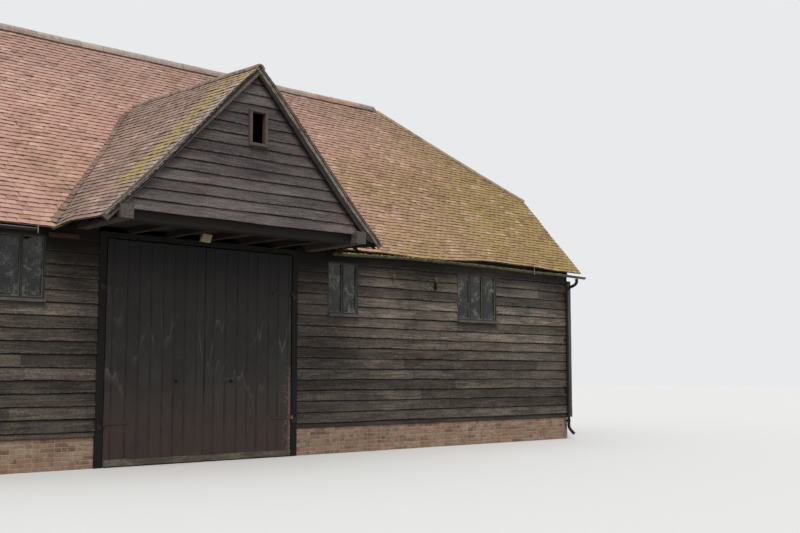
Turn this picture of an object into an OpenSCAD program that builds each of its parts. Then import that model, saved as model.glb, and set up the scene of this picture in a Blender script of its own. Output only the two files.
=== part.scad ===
// Timber-framed barn: weatherboarded walls on a brick plinth, a clay plain-tile roof with
// half-hipped ends, and a gabled canopy carried out over a pair of wagon doors.
// Millimetres, +Z up. The front faces -Y. The origin is on the ground, in the middle of the
// outline that the roof and canopy cover.

/* [Plan] */
// Length between the outer faces of the end walls
barn_l = 19060; // [18600:10:20000]
// Depth between the outer faces of the front and back walls
barn_d = 7800; // [7400:10:8400]
// Thickness of a boarded wall, from the boards' face to the posts
wall_t = 100; // [80:5:120]
// Top of the boarded walls, just under the rafters
wall_top = 3660; // [3640:5:3662]

/* [Plinth] */
// Height of the brick plinth
plinth_h = 475; // [400:5:550]
// Set-back of the brick face behind the boards' face
plinth_set = 30; // [15:5:50]
// Thickness of the brickwork
plinth_t = 280; // [220:5:280]

/* [Frame] */
// Side of a post and of every main beam
post_w = 210; // [200:2:210]
// Distance of the two middle frames from the doorway's middle
frame_near = 2185; // [2180:1:2190]
// Distance of the two outer frames from the doorway's middle
frame_far = 5820; // [5600:5:5860]
// Underside of the plates and cross beams
plate_z = 3600; // [3600:1:3602]
// How far a post's head is thickened to carry plate and cross beam
jowl = 85; // [60:5:100]
// Radius of a curved brace
brace_r = 1100; // [900:10:1250]
// Depth of a curved brace
brace_h = 150; // [120:5:180]

/* [Roof] */
// Pitch of the two long slopes, in degrees
pitch = 45; // [44.9:0.1:45.1]
// Height of the tiles' top at the eaves
eave_z = 3620; // [3620:1:3625]
// Reach of the eaves beyond the wall
eave_out = 300; // [280:5:310]
// Thickness of tiles and battens
cover_t = 70; // [60:1:72]
// Reach of the verges beyond the end walls, at the eaves
verge_foot = 200; // [160:5:260]
// Reach of the verges beyond the end walls, where the half-hips start
verge_out = 370; // [300:5:400]
// Reach of a half-hip's foot beyond the end wall
hip_reach = 550; // [500:5:600]
// Height of the tiles' top at a half-hip's foot
hip_z = 5450; // [5300:10:5600]
// Distance of the ridge's ends from the middle
ridge_end = 7100; // [7000:10:7200]
// Inner radius of the ridge tiles
ridge_r = 140; // [110:1:150]
// Inner radius of the hip tiles
hip_r = 92; // [80:1:110]
// Inner radius of the canopy's ridge tiles
canopy_ridge_r = 92; // [80:1:110]
// Thickness of the ridge and hip tiles
ridge_t = 16; // [12:1:20]

/* [Roof timbers] */
// Depth of a principal rafter, square to the slope
principal_h = 240; // [220:5:250]
// Depth of a common rafter, square to the slope
rafter_h = 100; // [90:5:105]
// Width of a common rafter
rafter_w = 75; // [60:5:90]
// Greatest distance from one common rafter to the next
rafter_step = 460; // [400:10:500]
// Side of a purlin
purlin_h = 140; // [120:5:145]
// Distance of the purlins' upper edges from the walls' faces
purlin_y = 1950; // [1850:10:2000]
// Underside of the collars
collar_z = 5550; // [5500:10:5560]
// Width of a wall stud
stud_w = 75; // [60:5:90]
// Greatest distance from one stud to the next
stud_step = 600; // [500:10:700]

/* [Canopy] */
// Reach of the canopy's verge in front of the wall
canopy_out = 1460; // [1400:5:1500]
// Half width of the canopy at its eaves
canopy_half = 2620; // [2610:1:2630]
// Height of the tiles' top at the canopy's eaves
canopy_z = 3570; // [3566:1:3574]
// Pitch of the canopy roof, in degrees
canopy_pitch = 47; // [46.9:0.1:47.1]
// Reach of the plates' ends in front of the wall
plate_out = 1500; // [1480:5:1520]
// Depth of a bargeboard
barge_h = 145; // [120:5:200]
// Width of the unglazed opening in the gable
vent_w = 220; // [160:5:260]
// Height of the unglazed opening in the gable
vent_h = 370; // [300:5:420]

/* [Doors] */
// Clear width between the door posts
door_w = 3580; // [3560:2:3600]
// Height of a door leaf's top
door_top = 3495; // [3450:5:3500]
// Width of a door post
jamb_w = 120; // [100:5:130]
// Thickness of the leaves' boards
leaf_t = 32; // [28:1:36]
// Gap between the leaves, and twice that beside them
leaf_gap = 7; // [6:1:9]
// Heights of the hinges
hinge_zs = [640, 2780];

/* [Windows] */
// Width of a two-light window
two_w = 730; // [700:5:760]
// Width of a three-light window
three_w = 1180; // [1120:5:1200]
// Height of the windows' sills
sill_z = 2510; // [2480:5:2540]
// Height of the windows' heads
head_z = 3460; // [3400:5:3500]
// Width of a window frame's members
frame_w = 55; // [45:5:65]

/* [Rainwater] */
// Outer radius of a gutter's straps
gutter_r = 58; // [50:1:64]
// Radius of a downpipe
pipe_r = 34; // [30:1:38]

/* [Hidden] */
$fn = 48;
slack = 1;
far = 12000;
// Gap at which sloping pieces bear on each other
bed = 0.5;
wall_x = barn_l / 2;
inner_x = wall_x - wall_t;
post_x = inner_x - post_w / 2;
post_in = wall_t + post_w;
mid_y = barn_d / 2;
plate_top = plate_z + post_w;
plinth_in = plinth_set + plinth_t;
jamb_x = door_w / 2 + jamb_w;
head_low = door_top + 20;

tan_p = tan(pitch);
cover_v = cover_t / cos(pitch);
ridge_z = eave_z + (mid_y + eave_out) * tan_p;
hip_x = wall_x + hip_reach;
verge_x = wall_x + verge_out;
verge_low = wall_x + verge_foot;
hip_pitch = atan((ridge_z - hip_z) / (hip_x - ridge_end));
hip_v = cover_t / cos(hip_pitch);

tan_c = tan(canopy_pitch);
canopy_v = cover_t / cos(canopy_pitch);
canopy_ridge = canopy_z + canopy_half * tan_c;
canopy_back = (canopy_ridge - eave_z) / tan_p - eave_out;

gutter_y = eave_out + 36;
gutter_z = eave_z - 82;
back_reach = barn_d + gutter_y + gutter_r;
front_y = (plate_out - back_reach) / 2;

leaf_w = door_w / 2 - 2 * leaf_gap - leaf_gap / 2;
leaf_foot = 18;
ledge_t = 38;
pin_r = 9;
pin_y = -26;
eye_r = 18;
eye_h = 62;
hinge_x = door_w / 2 - leaf_gap;

frames = [-post_x, -frame_far, -frame_near, frame_near, frame_far, post_x];
// A window is its left edge, its width and its number of lights
windows = [[-5980 - three_w, three_w, 3], [-2770 - two_w, two_w, 2],
    [2600, two_w, 2], [5980, three_w, 3]];
sill_h = 45;

principal_v = principal_h / cos(pitch);
rafter_v = rafter_h / cos(pitch);
hip_rafter_v = rafter_h / cos(hip_pitch);
canopy_rafter_v = 0.9 * rafter_h / cos(canopy_pitch);
// The clear stretches between the frames, from post to post
bays = [for (i = [0 : len(frames) - 2]) [frames[i] + post_w / 2, frames[i + 1] - post_w / 2]];
// How far the rafters' feet and the wall plates reach
tail_y = -230;
plate_end = verge_low - 60;

tile_red = [0.55, 0.36, 0.30];
tile_brown = [0.42, 0.33, 0.25];
ridge_grey = [0.52, 0.44, 0.40];
board_black = [0.10, 0.09, 0.085];
oak_dark = [0.16, 0.14, 0.12];
oak = [0.45, 0.36, 0.26];
brick_pink = [0.58, 0.42, 0.36];
sage = [0.42, 0.46, 0.40];
iron_black = [0.08, 0.08, 0.08];
zinc = [0.45, 0.47, 0.48];

// Puts the front wall's face, at y = 0, where it stands in the plan
module in_plan() {
    translate([0, front_y, 0]) children();
}

module block(x0, x1, y0, y1, z0, z1) {
    translate([x0, y0, z0]) cube([x1 - x0, y1 - y0, z1 - z0]);
}

// A profile drawn in Y and Z, extruded from x0 to x1
module along_x(x0, x1) {
    translate([x0, 0, 0]) rotate([90, 0, 90]) linear_extrude(x1 - x0) children();
}

// A profile drawn in X and Z, extruded from y0 to y1
module along_y(y0, y1) {
    translate([0, y1, 0]) rotate([90, 0, 0]) linear_extrude(y1 - y0) children();
}

module both_sides() {
    children();
    mirror([1, 0, 0]) children();
}

module turned_to_back() {
    translate([0, barn_d, 0]) mirror([0, 1, 0]) children();
}

module front_and_back() {
    children();
    turned_to_back() children();
}

// Points that divide the stretch from a to b into equal steps of no more than step
function spaced(a, b, step) = let (n = ceil((b - a) / step))
    [for (i = [1 : n - 1]) a + (b - a) * i / n];

// Heights of the coverings' tops and undersides over a point of the plan
function front_top(y) = eave_z + (y + eave_out) * tan_p;
function front_under(y) = front_top(y) - cover_v;
function hip_top(x) = hip_z + (hip_x - x) * tan(hip_pitch);
function hip_under(x) = hip_top(x) - hip_v;
function canopy_under(x) = canopy_ridge - canopy_v - x * tan_c;

// Everything that lies under the long slopes' covering by drop or more
module under_slopes(drop) {
    low = -bed - drop;
    along_x(-far, far) polygon([[-eave_out, 0], [barn_d + eave_out, 0],
        [barn_d + eave_out, front_under(-eave_out) + low], [mid_y, front_under(mid_y) + low],
        [-eave_out, front_under(-eave_out) + low]]);
}

// Everything that lies under the half-hips' covering by drop or more
module under_hips(drop) {
    low = -bed - drop;
    along_y(-far, far) polygon([[-hip_x, 0], [hip_x, 0], [hip_x, hip_under(hip_x) + low],
        [ridge_end, hip_under(ridge_end) + low], [-ridge_end, hip_under(ridge_end) + low],
        [-hip_x, hip_under(hip_x) + low]]);
}

// Everything that lies under the canopy's covering by drop or more
module under_canopy(drop) {
    low = -bed - drop;
    along_y(-far, far) polygon([[-canopy_half, canopy_under(canopy_half) + low],
        [0, canopy_under(0) + low], [canopy_half, canopy_under(canopy_half) + low]]);
}

// Walls

module window_gaps() {
    for (w = windows)
        block(w[0], w[0] + w[1], -slack, wall_t + slack, sill_z - sill_h, head_z);
}

module front_wall(x0, x1, beam_x) {
    color(board_black) in_plan() difference() {
        block(x0, x1, 0, wall_t, plinth_h, wall_top);
        window_gaps();
        block(beam_x - post_w / 2, beam_x + post_w / 2, -slack, wall_t + slack, plate_z, far);
    }
}

module back_wall() {
    color(board_black) in_plan() turned_to_back() difference() {
        block(-wall_x, wall_x, 0, wall_t, plinth_h, wall_top);
        window_gaps();
    }
}

// The boards stop under the half-hip's rafters, and the wall plates run out through them
module end_wall() {
    color(board_black) in_plan() difference() {
        intersection() {
            block(inner_x, wall_x, wall_t, barn_d - wall_t, plinth_h, far);
            under_slopes(0);
            under_hips(hip_rafter_v + bed);
        }
        front_and_back() block(0, far, 0, post_in, plate_z, plate_top);
    }
}

module plinth_front(x0, x1) {
    color(brick_pink) in_plan() block(x0, x1, plinth_set, plinth_in, 0, plinth_h);
}

module plinth_back() {
    color(brick_pink) in_plan() turned_to_back()
        block(plinth_set - wall_x, wall_x - plinth_set, plinth_set, plinth_in, 0, plinth_h);
}

module plinth_ends() {
    color(brick_pink) in_plan() both_sides()
        block(wall_x - plinth_in, wall_x - plinth_set, plinth_in, barn_d - plinth_in, 0, plinth_h);
}

// Timber frame

sill_beam_h = 150;

module sill_beams() {
    color(oak) in_plan() {
        for (i = [0, 1, 3, 4]) sill_bay(i);
        both_sides() block(jamb_x, frame_near - post_w / 2, wall_t, post_in, plinth_h,
            plinth_h + sill_beam_h);
        turned_to_back() for (i = [0 : len(frames) - 2]) sill_bay(i);
        both_sides() for (s = [0, 1])
            block(inner_x - post_w, inner_x, gable_post_ys[s * 2], gable_post_ys[s * 2 + 1],
                plinth_h, plinth_h + sill_beam_h);
    }
}

module sill_bay(i) {
    block(frames[i] + post_w / 2, frames[i + 1] - post_w / 2, wall_t, post_in,
        plinth_h, plinth_h + sill_beam_h);
}

gable_post_ys = [post_in, mid_y - post_w / 2, mid_y + post_w / 2, barn_d - post_in];

// A post's side: straight up the wall, thickened at its head
module post_profile() {
    polygon([[wall_t, plinth_h], [post_in, plinth_h], [post_in, plate_z - 560],
        [post_in + jowl, plate_z - 260], [post_in + jowl, plate_z], [wall_t, plate_z]]);
}

module post_row() {
    for (x = frames) along_x(x - post_w / 2, x + post_w / 2) post_profile();
}

module frame_posts() {
    color(oak) in_plan() front_and_back() post_row();
}

module gable_posts() {
    color(oak) in_plan() both_sides()
        block(inner_x - post_w, inner_x, mid_y - post_w / 2, mid_y + post_w / 2, plinth_h, plate_z);
}

module wall_plates() {
    color(oak) in_plan() {
        both_sides()
            block(frame_near + post_w / 2, plate_end, wall_t, post_in, plate_z, plate_top);
        turned_to_back() block(-plate_end, plate_end, wall_t, post_in, plate_z, plate_top);
    }
}

module cross_beams() {
    color(oak_dark) in_plan() both_sides() {
        block(frame_near - post_w / 2, frame_near + post_w / 2, -plate_out, barn_d - post_in,
            plate_z, plate_top);
        for (x = [frame_far, post_x])
            block(x - post_w / 2, x + post_w / 2, post_in, barn_d - post_in, plate_z, plate_top);
    }
}

// A quarter ring in the corner between a post, at 0, and the beam over it, at height r
module brace_profile(r, depth) {
    intersection() {
        translate([r, 0]) difference() {
            circle(r + depth / 2, $fn = 96);
            circle(r - depth / 2, $fn = 96);
        }
        square(r);
    }
}

brace_t = 90;

module curved_braces() {
    color(oak) in_plan() both_sides() front_and_back() for (x = [frame_near, frame_far])
        along_x(x - brace_t / 2, x + brace_t / 2)
            translate([post_in, plate_z - brace_r]) brace_profile(brace_r, brace_h);
}

plate_brace_r = 450;
plate_brace_h = 110;

// Smaller braces in the plane of the long walls, behind the studs
module plate_braces() {
    color(oak) in_plan() both_sides() front_and_back() for (x = [frame_far, post_x])
        translate([x - post_w / 2, 0, plate_z - plate_brace_r]) mirror([1, 0, 0])
            along_y(post_in - 10 - brace_t, post_in - 10)
                brace_profile(plate_brace_r, plate_brace_h);
}

stud_t = 100;
stud_foot = plinth_h + sill_beam_h;

function clear_of_windows(x) =
    len([for (w = windows) if (abs(x - w[0] - w[1] / 2) < w[1] / 2 + 2 * stud_w) w]) == 0;

// Places of the studs between a and b: evenly spaced, but at a window on both sides of it
function stud_xs(a, b) = concat(
    [for (x = spaced(a, b, stud_step)) if (clear_of_windows(x)) x],
    [for (w = windows, x = [w[0] - stud_w / 2, w[0] + w[1] + stud_w / 2])
        if (x - stud_w / 2 > a && x + stud_w / 2 < b) x]);

module stud_row(bay) {
    for (x = stud_xs(bay[0], bay[1]))
        block(x - stud_w / 2, x + stud_w / 2, wall_t, wall_t + stud_t, stud_foot, plate_z);
}

// An end's studs stop under the cross beam and start again on it, up to the roof truss
module end_studs() {
    for (s = [0, 2], y = spaced(gable_post_ys[s], gable_post_ys[s + 1], stud_step)) {
        block(inner_x - stud_t, inner_x, y - stud_w / 2, y + stud_w / 2, stud_foot, plate_z);
        intersection() {
            block(inner_x - stud_t, inner_x, y - stud_w / 2, y + stud_w / 2, plate_top, collar_z);
            under_slopes(principal_v + bed);
        }
    }
}

canopy_stud_xs = [230, 860, 1490];

module canopy_studs() {
    intersection() {
        for (x = canopy_stud_xs) both_sides() block(x - stud_w / 2, x + stud_w / 2,
            gable_t - gable_y, gable_t - gable_y + rafter_w, plate_top, far);
        under_canopy(canopy_rafter_v + bed);
    }
}

module wall_studs() {
    color(oak) in_plan() {
        for (i = [0, 1, 3, 4]) stud_row(bays[i]);
        turned_to_back() for (bay = bays) stud_row(bay);
        both_sides() end_studs();
        canopy_studs();
    }
}

// Roof timbers

// Height of the long slopes' bedding plane, and the distance behind the wall where it has it
function bedded(y) = front_under(y) - bed;
function slope_y(z) = (z + cover_v + bed - eave_z) / tan_p - eave_out;

// From its seat on the plate and the cross beam up to the opposite rafter's head
module principal_profile() {
    polygon([[wall_t, plate_top], [slope_y(plate_top + principal_v), plate_top],
        [mid_y - slack, bedded(mid_y - slack) - principal_v],
        [mid_y - slack, bedded(mid_y - slack)], [wall_t, bedded(wall_t)]]);
}

module principal_rafters() {
    color(oak) in_plan() front_and_back() intersection() {
        for (x = frames) along_x(x - post_w / 2, x + post_w / 2) principal_profile();
        under_hips(hip_rafter_v);
    }
}

collar_h = 190;
strut_w = 150;
strut_y = 2250;

// A collar between the principal rafters, on two upright struts
module collar_and_struts(x) {
    foot = slope_y(collar_z + principal_v + bed);
    head = foot + collar_h / tan_p;
    along_x(x - strut_w / 2, x + strut_w / 2) polygon([[foot, collar_z], [barn_d - foot, collar_z],
        [barn_d - head, collar_z + collar_h], [head, collar_z + collar_h]]);
    front_and_back()
        block(x - strut_w / 2, x + strut_w / 2, strut_y, strut_y + strut_w, plate_top, collar_z);
}

// The end frames' collars carry the half-hips' rafters
module truss_struts() {
    color(oak) in_plan() both_sides() {
        collar_and_struts(frame_near);
        collar_and_struts(frame_far);
        intersection() {
            block(post_x - post_w / 2, inner_x, 0, barn_d, collar_z, far);
            under_slopes(principal_v + bed);
            under_hips(hip_rafter_v + bed);
        }
    }
}

// A purlin's section, square to the slope under the common rafters, with a margin round it
module purlin_profile(margin) {
    translate([purlin_y, bedded(purlin_y)]) rotate(pitch)
        translate([-margin, -rafter_h - bed - purlin_h - margin]) square(purlin_h + 2 * margin);
}

module purlins() {
    color(oak) in_plan() front_and_back()
        for (bay = bays) along_x(bay[0], bay[1]) purlin_profile(0);
}

// Plan lines of the hips and valleys: the y at which they pass a distance x from the middle
function hip_line_y(x) = slope_y(hip_under(x) - bed);
function valley_line_y(x) = slope_y(canopy_under(x) - bed);
hip_slant = tan(hip_pitch) / tan_p;
valley_slant = tan_c / tan_p;
hip_head = hip_x - (mid_y - hip_line_y(hip_x)) / hip_slant;
plank_w = 60;
plank_h = 220;
valley_plank_h = 170;
hip_clear = (plank_w / 2 + slack) / cos(atan(hip_slant));
valley_clear = (plank_w / 2 + slack) / cos(atan(valley_slant));
valley_foot = frame_near - post_w / 2;

// An upright plank whose upper edge runs from a to b, and stands up by rise over that line
module plank(a, b, depth, rise) {
    run = norm([b[0] - a[0], b[1] - a[1]]);
    fall = b[2] - a[2];
    translate(a) rotate([0, 0, atan2(b[1] - a[1], b[0] - a[0])]) along_y(-plank_w / 2, plank_w / 2)
        polygon([[0, -depth], [run, fall - depth], [run, fall + rise], [0, rise]]);
}

// Bevelled to both slopes, and notched over the end frame's rafters and collar
module hip_rafter() {
    reach = inner_x + plank_w;
    difference() {
        intersection() {
            plank([hip_head, mid_y, hip_under(hip_head)],
                [reach, hip_line_y(reach), hip_under(reach)], plank_h, plank_w);
            block(0, inner_x, 0, mid_y - slack, 0, far);
            under_slopes(0);
            under_hips(0);
        }
        intersection() {
            block(post_x - post_w / 2, far, 0, mid_y, 0, far);
            under_hips(hip_rafter_v - bed);
        }
    }
}

// From the ridge of the canopy down to the principal rafter beside it, over the purlin
module valley_rafter() {
    reach = valley_foot + plank_w;
    difference() {
        intersection() {
            plank([0, valley_line_y(0), canopy_under(0) - bed],
                [reach, valley_line_y(reach), canopy_under(reach) - bed], valley_plank_h, 0);
            block(slack, valley_foot, 0, mid_y, 0, far);
        }
        along_x(0, far) purlin_profile(bed);
    }
}

module hip_and_valley_rafters() {
    color(oak) in_plan() both_sides() {
        front_and_back() hip_rafter();
        valley_rafter();
    }
}

// The plan in front of the hips, behind the valleys, in front of them, and beside the hips
module long_slope_plan() {
    linear_extrude(far) polygon([[-hip_x, tail_y - slack], [hip_x, tail_y - slack],
        [hip_x, hip_line_y(hip_x) - hip_clear], [hip_head - hip_clear / hip_slant, mid_y],
        [hip_clear / hip_slant - hip_head, mid_y], [-hip_x, hip_line_y(hip_x) - hip_clear]]);
}

module behind_valleys_plan() {
    linear_extrude(far) polygon([[0, valley_line_y(0) + valley_clear],
        [frame_near, valley_line_y(frame_near) + valley_clear], [frame_near, mid_y],
        [-frame_near, mid_y], [-frame_near, valley_line_y(frame_near) + valley_clear]]);
}

module canopy_plan() {
    linear_extrude(far) polygon([[-beam_edge, -far], [beam_edge, -far],
        [beam_edge, valley_line_y(beam_edge) - valley_clear],
        [0, valley_line_y(0) - valley_clear],
        [-beam_edge, valley_line_y(beam_edge) - valley_clear]]);
}

module half_hip_plan() {
    linear_extrude(far) polygon([[hip_head + hip_clear / hip_slant, mid_y],
        [hip_x, hip_line_y(hip_x) + hip_clear], [hip_x, barn_d - hip_line_y(hip_x) - hip_clear]]);
}

// Notched over the wall plate, with a foot that reaches out to the eaves
module long_rafters(xs) {
    intersection() {
        for (x = xs) along_x(x - rafter_w / 2, x + rafter_w / 2) polygon([
            [tail_y, bedded(tail_y)], [mid_y - slack, bedded(mid_y - slack)],
            [mid_y - slack, bedded(mid_y - slack) - rafter_v],
            [slope_y(plate_top + rafter_v), plate_top], [wall_t, plate_top],
            [wall_t, bedded(wall_t) - rafter_v], [tail_y, bedded(tail_y) - rafter_v]]);
        under_hips(0);
        long_slope_plan();
    }
}

hip_tail_x = hip_x - 90;

module half_hip_rafters() {
    intersection() {
        for (i = [-3 : 3]) let (y = mid_y + i * rafter_step)
            along_y(y - rafter_w / 2, y + rafter_w / 2) polygon([
                [hip_head, hip_under(hip_head) - bed], [hip_tail_x, hip_under(hip_tail_x) - bed],
                [hip_tail_x, hip_under(hip_tail_x) - bed - hip_rafter_v],
                [hip_head, hip_under(hip_head) - bed - hip_rafter_v]]);
        half_hip_plan();
    }
}

canopy_tail_x = canopy_half - 60;
canopy_tail_h = 45;
beam_edge = frame_near + post_w / 2;

// Stands on the outer beam and meets the opposite rafter at the canopy's ridge
module canopy_rafter_profile() {
    low = -bed - canopy_rafter_v;
    polygon([[beam_edge, canopy_under(beam_edge) - bed], [slack, canopy_under(slack) - bed],
        [slack, canopy_under(slack) + low], [(canopy_under(0) + low - plate_top) / tan_c,
        plate_top], [beam_edge, plate_top]]);
}

// An eaves piece, fixed to the outer beam's side
module canopy_tail_profile() {
    top = plate_top - slack;
    polygon([[beam_edge, top], [(canopy_under(0) - bed - top) / tan_c, top],
        [canopy_tail_x, canopy_under(canopy_tail_x) - bed],
        [canopy_tail_x, canopy_under(canopy_tail_x) - bed - canopy_tail_h],
        [beam_edge, canopy_under(beam_edge) - canopy_rafter_v]]);
}

module canopy_rafters() {
    ys = [for (i = [0 : 8]) gable_t - gable_y + i * 0.96 * rafter_step];
    both_sides() {
        intersection() {
            for (y = ys) along_y(y, y + rafter_w) canopy_rafter_profile();
            canopy_plan();
        }
        for (y = ys) if (y < -eave_out) along_y(y, y + rafter_w) canopy_tail_profile();
    }
}

module common_rafters() {
    outer = concat(spaced(bays[3][0], bays[3][1], rafter_step),
        spaced(bays[4][0], bays[4][1], rafter_step), [plate_end - rafter_w / 2]);
    middle = spaced(bays[2][0], bays[2][1], rafter_step);
    color(oak) in_plan() {
        both_sides() {
            front_and_back() long_rafters(outer);
            half_hip_rafters();
        }
        turned_to_back() long_rafters(middle);
        intersection() {
            long_rafters(middle);
            behind_valleys_plan();
        }
        canopy_rafters();
    }
}

// Doorway

jamb_t = 200;

module door_posts() {
    color(oak_dark) in_plan() both_sides() block(door_w / 2, jamb_x, 0, jamb_t, 0, head_low);
}

module door_head() {
    color(oak_dark) in_plan() block(-jamb_x, jamb_x, 0, jamb_t, head_low, plate_z);
}

// Roof

module front_slab(x0, x1) {
    along_x(x0, x1) polygon([[-eave_out, eave_z], [mid_y, ridge_z], [mid_y, ridge_z - cover_v],
        [-eave_out + cover_t * sin(pitch), eave_z - cover_t * cos(pitch)]]);
}

// The outline that the long slopes keep to: verges that lean out, then the half-hips' undersides
module verge_clip() {
    along_y(-far, far) polygon([[-verge_low, 0], [verge_low, 0], [verge_low, eave_z],
        [verge_x, hip_under(verge_x) - bed], [ridge_end, hip_under(ridge_end) - bed],
        [ridge_end, far], [-ridge_end, far], [-ridge_end, hip_under(ridge_end) - bed],
        [-verge_x, hip_under(verge_x) - bed], [-verge_low, eave_z]]);
}

// Everything below the canopy's two slopes
module canopy_clip() {
    drop = 800;
    half = canopy_half + drop / tan_c;
    along_y(-far, canopy_back + slack) polygon([[-half, canopy_z + bed - drop],
        [0, canopy_ridge + bed], [half, canopy_z + bed - drop]]);
}

module roof_front(x0, x1, shade) {
    color(shade) in_plan() difference() {
        intersection() {
            front_slab(x0, x1);
            verge_clip();
        }
        canopy_clip();
    }
}

module roof_back() {
    color(tile_red) in_plan() intersection() {
        turned_to_back() front_slab(-verge_x, verge_x);
        verge_clip();
    }
}

// A half-hip's slab, cut by the planes of the long slopes' tops
module half_hips() {
    color(tile_brown) in_plan() both_sides() intersection() {
        along_y(-far, far) polygon([[hip_x, hip_z], [ridge_end, ridge_z],
            [ridge_end, ridge_z - hip_v],
            [hip_x - cover_t * sin(hip_pitch), hip_z - cover_t * cos(hip_pitch)]]);
        along_x(-far, far) polygon([[-eave_out, eave_z], [mid_y, ridge_z],
            [barn_d + eave_out, eave_z]]);
    }
}

// Section of a half-round tile whose crown and edges rest on a right-angled ridge
module ridge_section(inner, spread) {
    intersection() {
        difference() {
            circle(inner + ridge_t);
            circle(inner);
        }
        polygon([[0, 0], [far * sin(spread), far * cos(spread)], [0, far],
            [-far * sin(spread), far * cos(spread)]]);
    }
}

module ridge_tiles() {
    color(ridge_grey) in_plan() along_x(-ridge_end, ridge_end)
        translate([mid_y, ridge_z - ridge_r]) ridge_section(ridge_r, 89);
}

// Hip line from the half-hip's foot to the ridge's end
hip_foot = [hip_x, (hip_z - eave_z) / tan_p - eave_out, hip_z];
hip_run = [ridge_end, mid_y, ridge_z] - hip_foot;
hip_len = norm(hip_run);
hip_dir = hip_run / hip_len;
hip_up_raw = [sin(hip_pitch), 0, cos(hip_pitch)] + [0, -sin(pitch), cos(pitch)];
hip_up = hip_up_raw / norm(hip_up_raw);
hip_side = cross(hip_up, hip_dir);
hip_spread = 72;
hip_tilt = acos(hip_up * [0, -sin(pitch), cos(pitch)]);
hip_sink = hip_r * (cos(hip_spread) + tan(hip_tilt) * sin(hip_spread));
hip_trim = 150;

module hip_line() {
    multmatrix([[hip_side[0], hip_up[0], hip_dir[0], hip_foot[0]],
        [hip_side[1], hip_up[1], hip_dir[1], hip_foot[1]],
        [hip_side[2], hip_up[2], hip_dir[2], hip_foot[2]], [0, 0, 0, 1]])
        linear_extrude(hip_len - hip_trim) translate([0, bed - hip_sink])
            ridge_section(hip_r, hip_spread);
}

module hip_tiles() {
    color(ridge_grey) in_plan() both_sides() front_and_back() hip_line();
}

// Canopy

// What stands above the long slope's underside and in front of the eaves
module above_front_slope() {
    y0 = -eave_out + cover_t * sin(pitch);
    along_x(-far, far) polygon([[-far, 0], [y0, 0], [y0, front_under(y0)],
        [far, front_under(far)], [far, 2 * far], [-far, 2 * far]]);
}

module canopy_slope() {
    intersection() {
        along_y(-canopy_out, canopy_back + slack) polygon([[canopy_half, canopy_z],
            [0, canopy_ridge], [0, canopy_ridge - canopy_v],
            [canopy_half - cover_t * sin(canopy_pitch), canopy_z - cover_t * cos(canopy_pitch)]]);
        above_front_slope();
    }
}

module canopy_roof_left() {
    color(tile_brown) in_plan() mirror([1, 0, 0]) canopy_slope();
}

module canopy_roof_right() {
    color(tile_brown) in_plan() canopy_slope();
}

module canopy_ridge_tiles() {
    color(ridge_grey) in_plan() difference() {
        along_y(-canopy_out, canopy_back + canopy_ridge_r)
            translate([0, canopy_ridge - canopy_ridge_r]) ridge_section(canopy_ridge_r, 84);
        along_x(-far, far) polygon([[-eave_out, eave_z + bed], [mid_y, ridge_z + bed],
            [mid_y, 0], [-eave_out, 0]]);
    }
}

gable_y = 1400;
gable_t = 60;
vent_z = 5080;
vent_x = -10;
vent_bar = 45;

module canopy_gable() {
    color(board_black) in_plan() difference() {
        intersection() {
            block(-far, far, -gable_y, gable_t - gable_y, plate_top, far);
            under_canopy(0);
        }
        block(vent_x - vent_w / 2 - vent_bar, vent_x + vent_w / 2 + vent_bar, -far, 0,
            vent_z - vent_bar, vent_z + vent_h + vent_bar);
    }
}

module gable_vent_frame() {
    color(sage) in_plan() difference() {
        block(vent_x - vent_w / 2 - vent_bar, vent_x + vent_w / 2 + vent_bar, -gable_y - 30,
            gable_t - gable_y, vent_z - vent_bar, vent_z + vent_h + vent_bar);
        block(vent_x - vent_w / 2, vent_x + vent_w / 2, -far, 0, vent_z, vent_z + vent_h);
    }
}

// The beam stands back behind the gable's boards
beam_front = gable_t - gable_y;
beam_back = beam_front + post_w;

module canopy_beam() {
    color(oak_dark) in_plan() block(post_w / 2 - frame_near, frame_near - post_w / 2,
        beam_front, beam_back, plate_z, plate_top);
}

barge_t = 34;
barge_foot = 3560;

module bargeboards() {
    top = canopy_ridge - canopy_v - bed;
    low = top - barge_h / cos(canopy_pitch);
    color(board_black) in_plan() both_sides() difference() {
        along_y(-gable_y - barge_t, -gable_y) polygon([[2, top - 2 * tan_c],
            [(top - barge_foot) / tan_c, barge_foot], [(low - barge_foot) / tan_c, barge_foot],
            [2, low - 2 * tan_c]]);
        block(frame_near - post_w / 2, frame_near + post_w / 2, -far, 0, plate_z, plate_top);
    }
}

joist_w = 90;
joist_h = 100;
joist_step = 700;
soffit_t = 24;

module soffit_joists() {
    color(oak_dark) in_plan() for (x = spaced(bays[2][0], bays[2][1], joist_step))
        block(x - joist_w / 2, x + joist_w / 2, beam_back, jamb_t, plate_z, plate_z + joist_h);
}

module soffit_boards() {
    color(oak_dark) in_plan() block(bays[2][0], bays[2][1], beam_back, jamb_t,
        plate_z + joist_h, plate_z + joist_h + soffit_t);
}

// Windows

frame_front = 12;
frame_t = 68;
glass_t = 6;

// One block for each light of a window, from y0 to y1
module lights(w, y0, y1) {
    n = w[2];
    pane = (w[1] - (n + 1) * frame_w) / n;
    for (i = [0 : n - 1]) {
        x = w[0] + frame_w + i * (pane + frame_w);
        block(x, x + pane, y0, y1, sill_z + frame_w, head_z - frame_w);
    }
}

module window_frame_row() {
    for (w = windows) difference() {
        block(w[0], w[0] + w[1], frame_front, frame_front + frame_t, sill_z, head_z);
        lights(w, -far, far);
    }
}

module window_frames() {
    color(sage) in_plan() front_and_back() window_frame_row();
}

module window_glass_row() {
    y = frame_front + frame_t / 2;
    for (w = windows) lights(w, y, y + glass_t);
}

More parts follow.
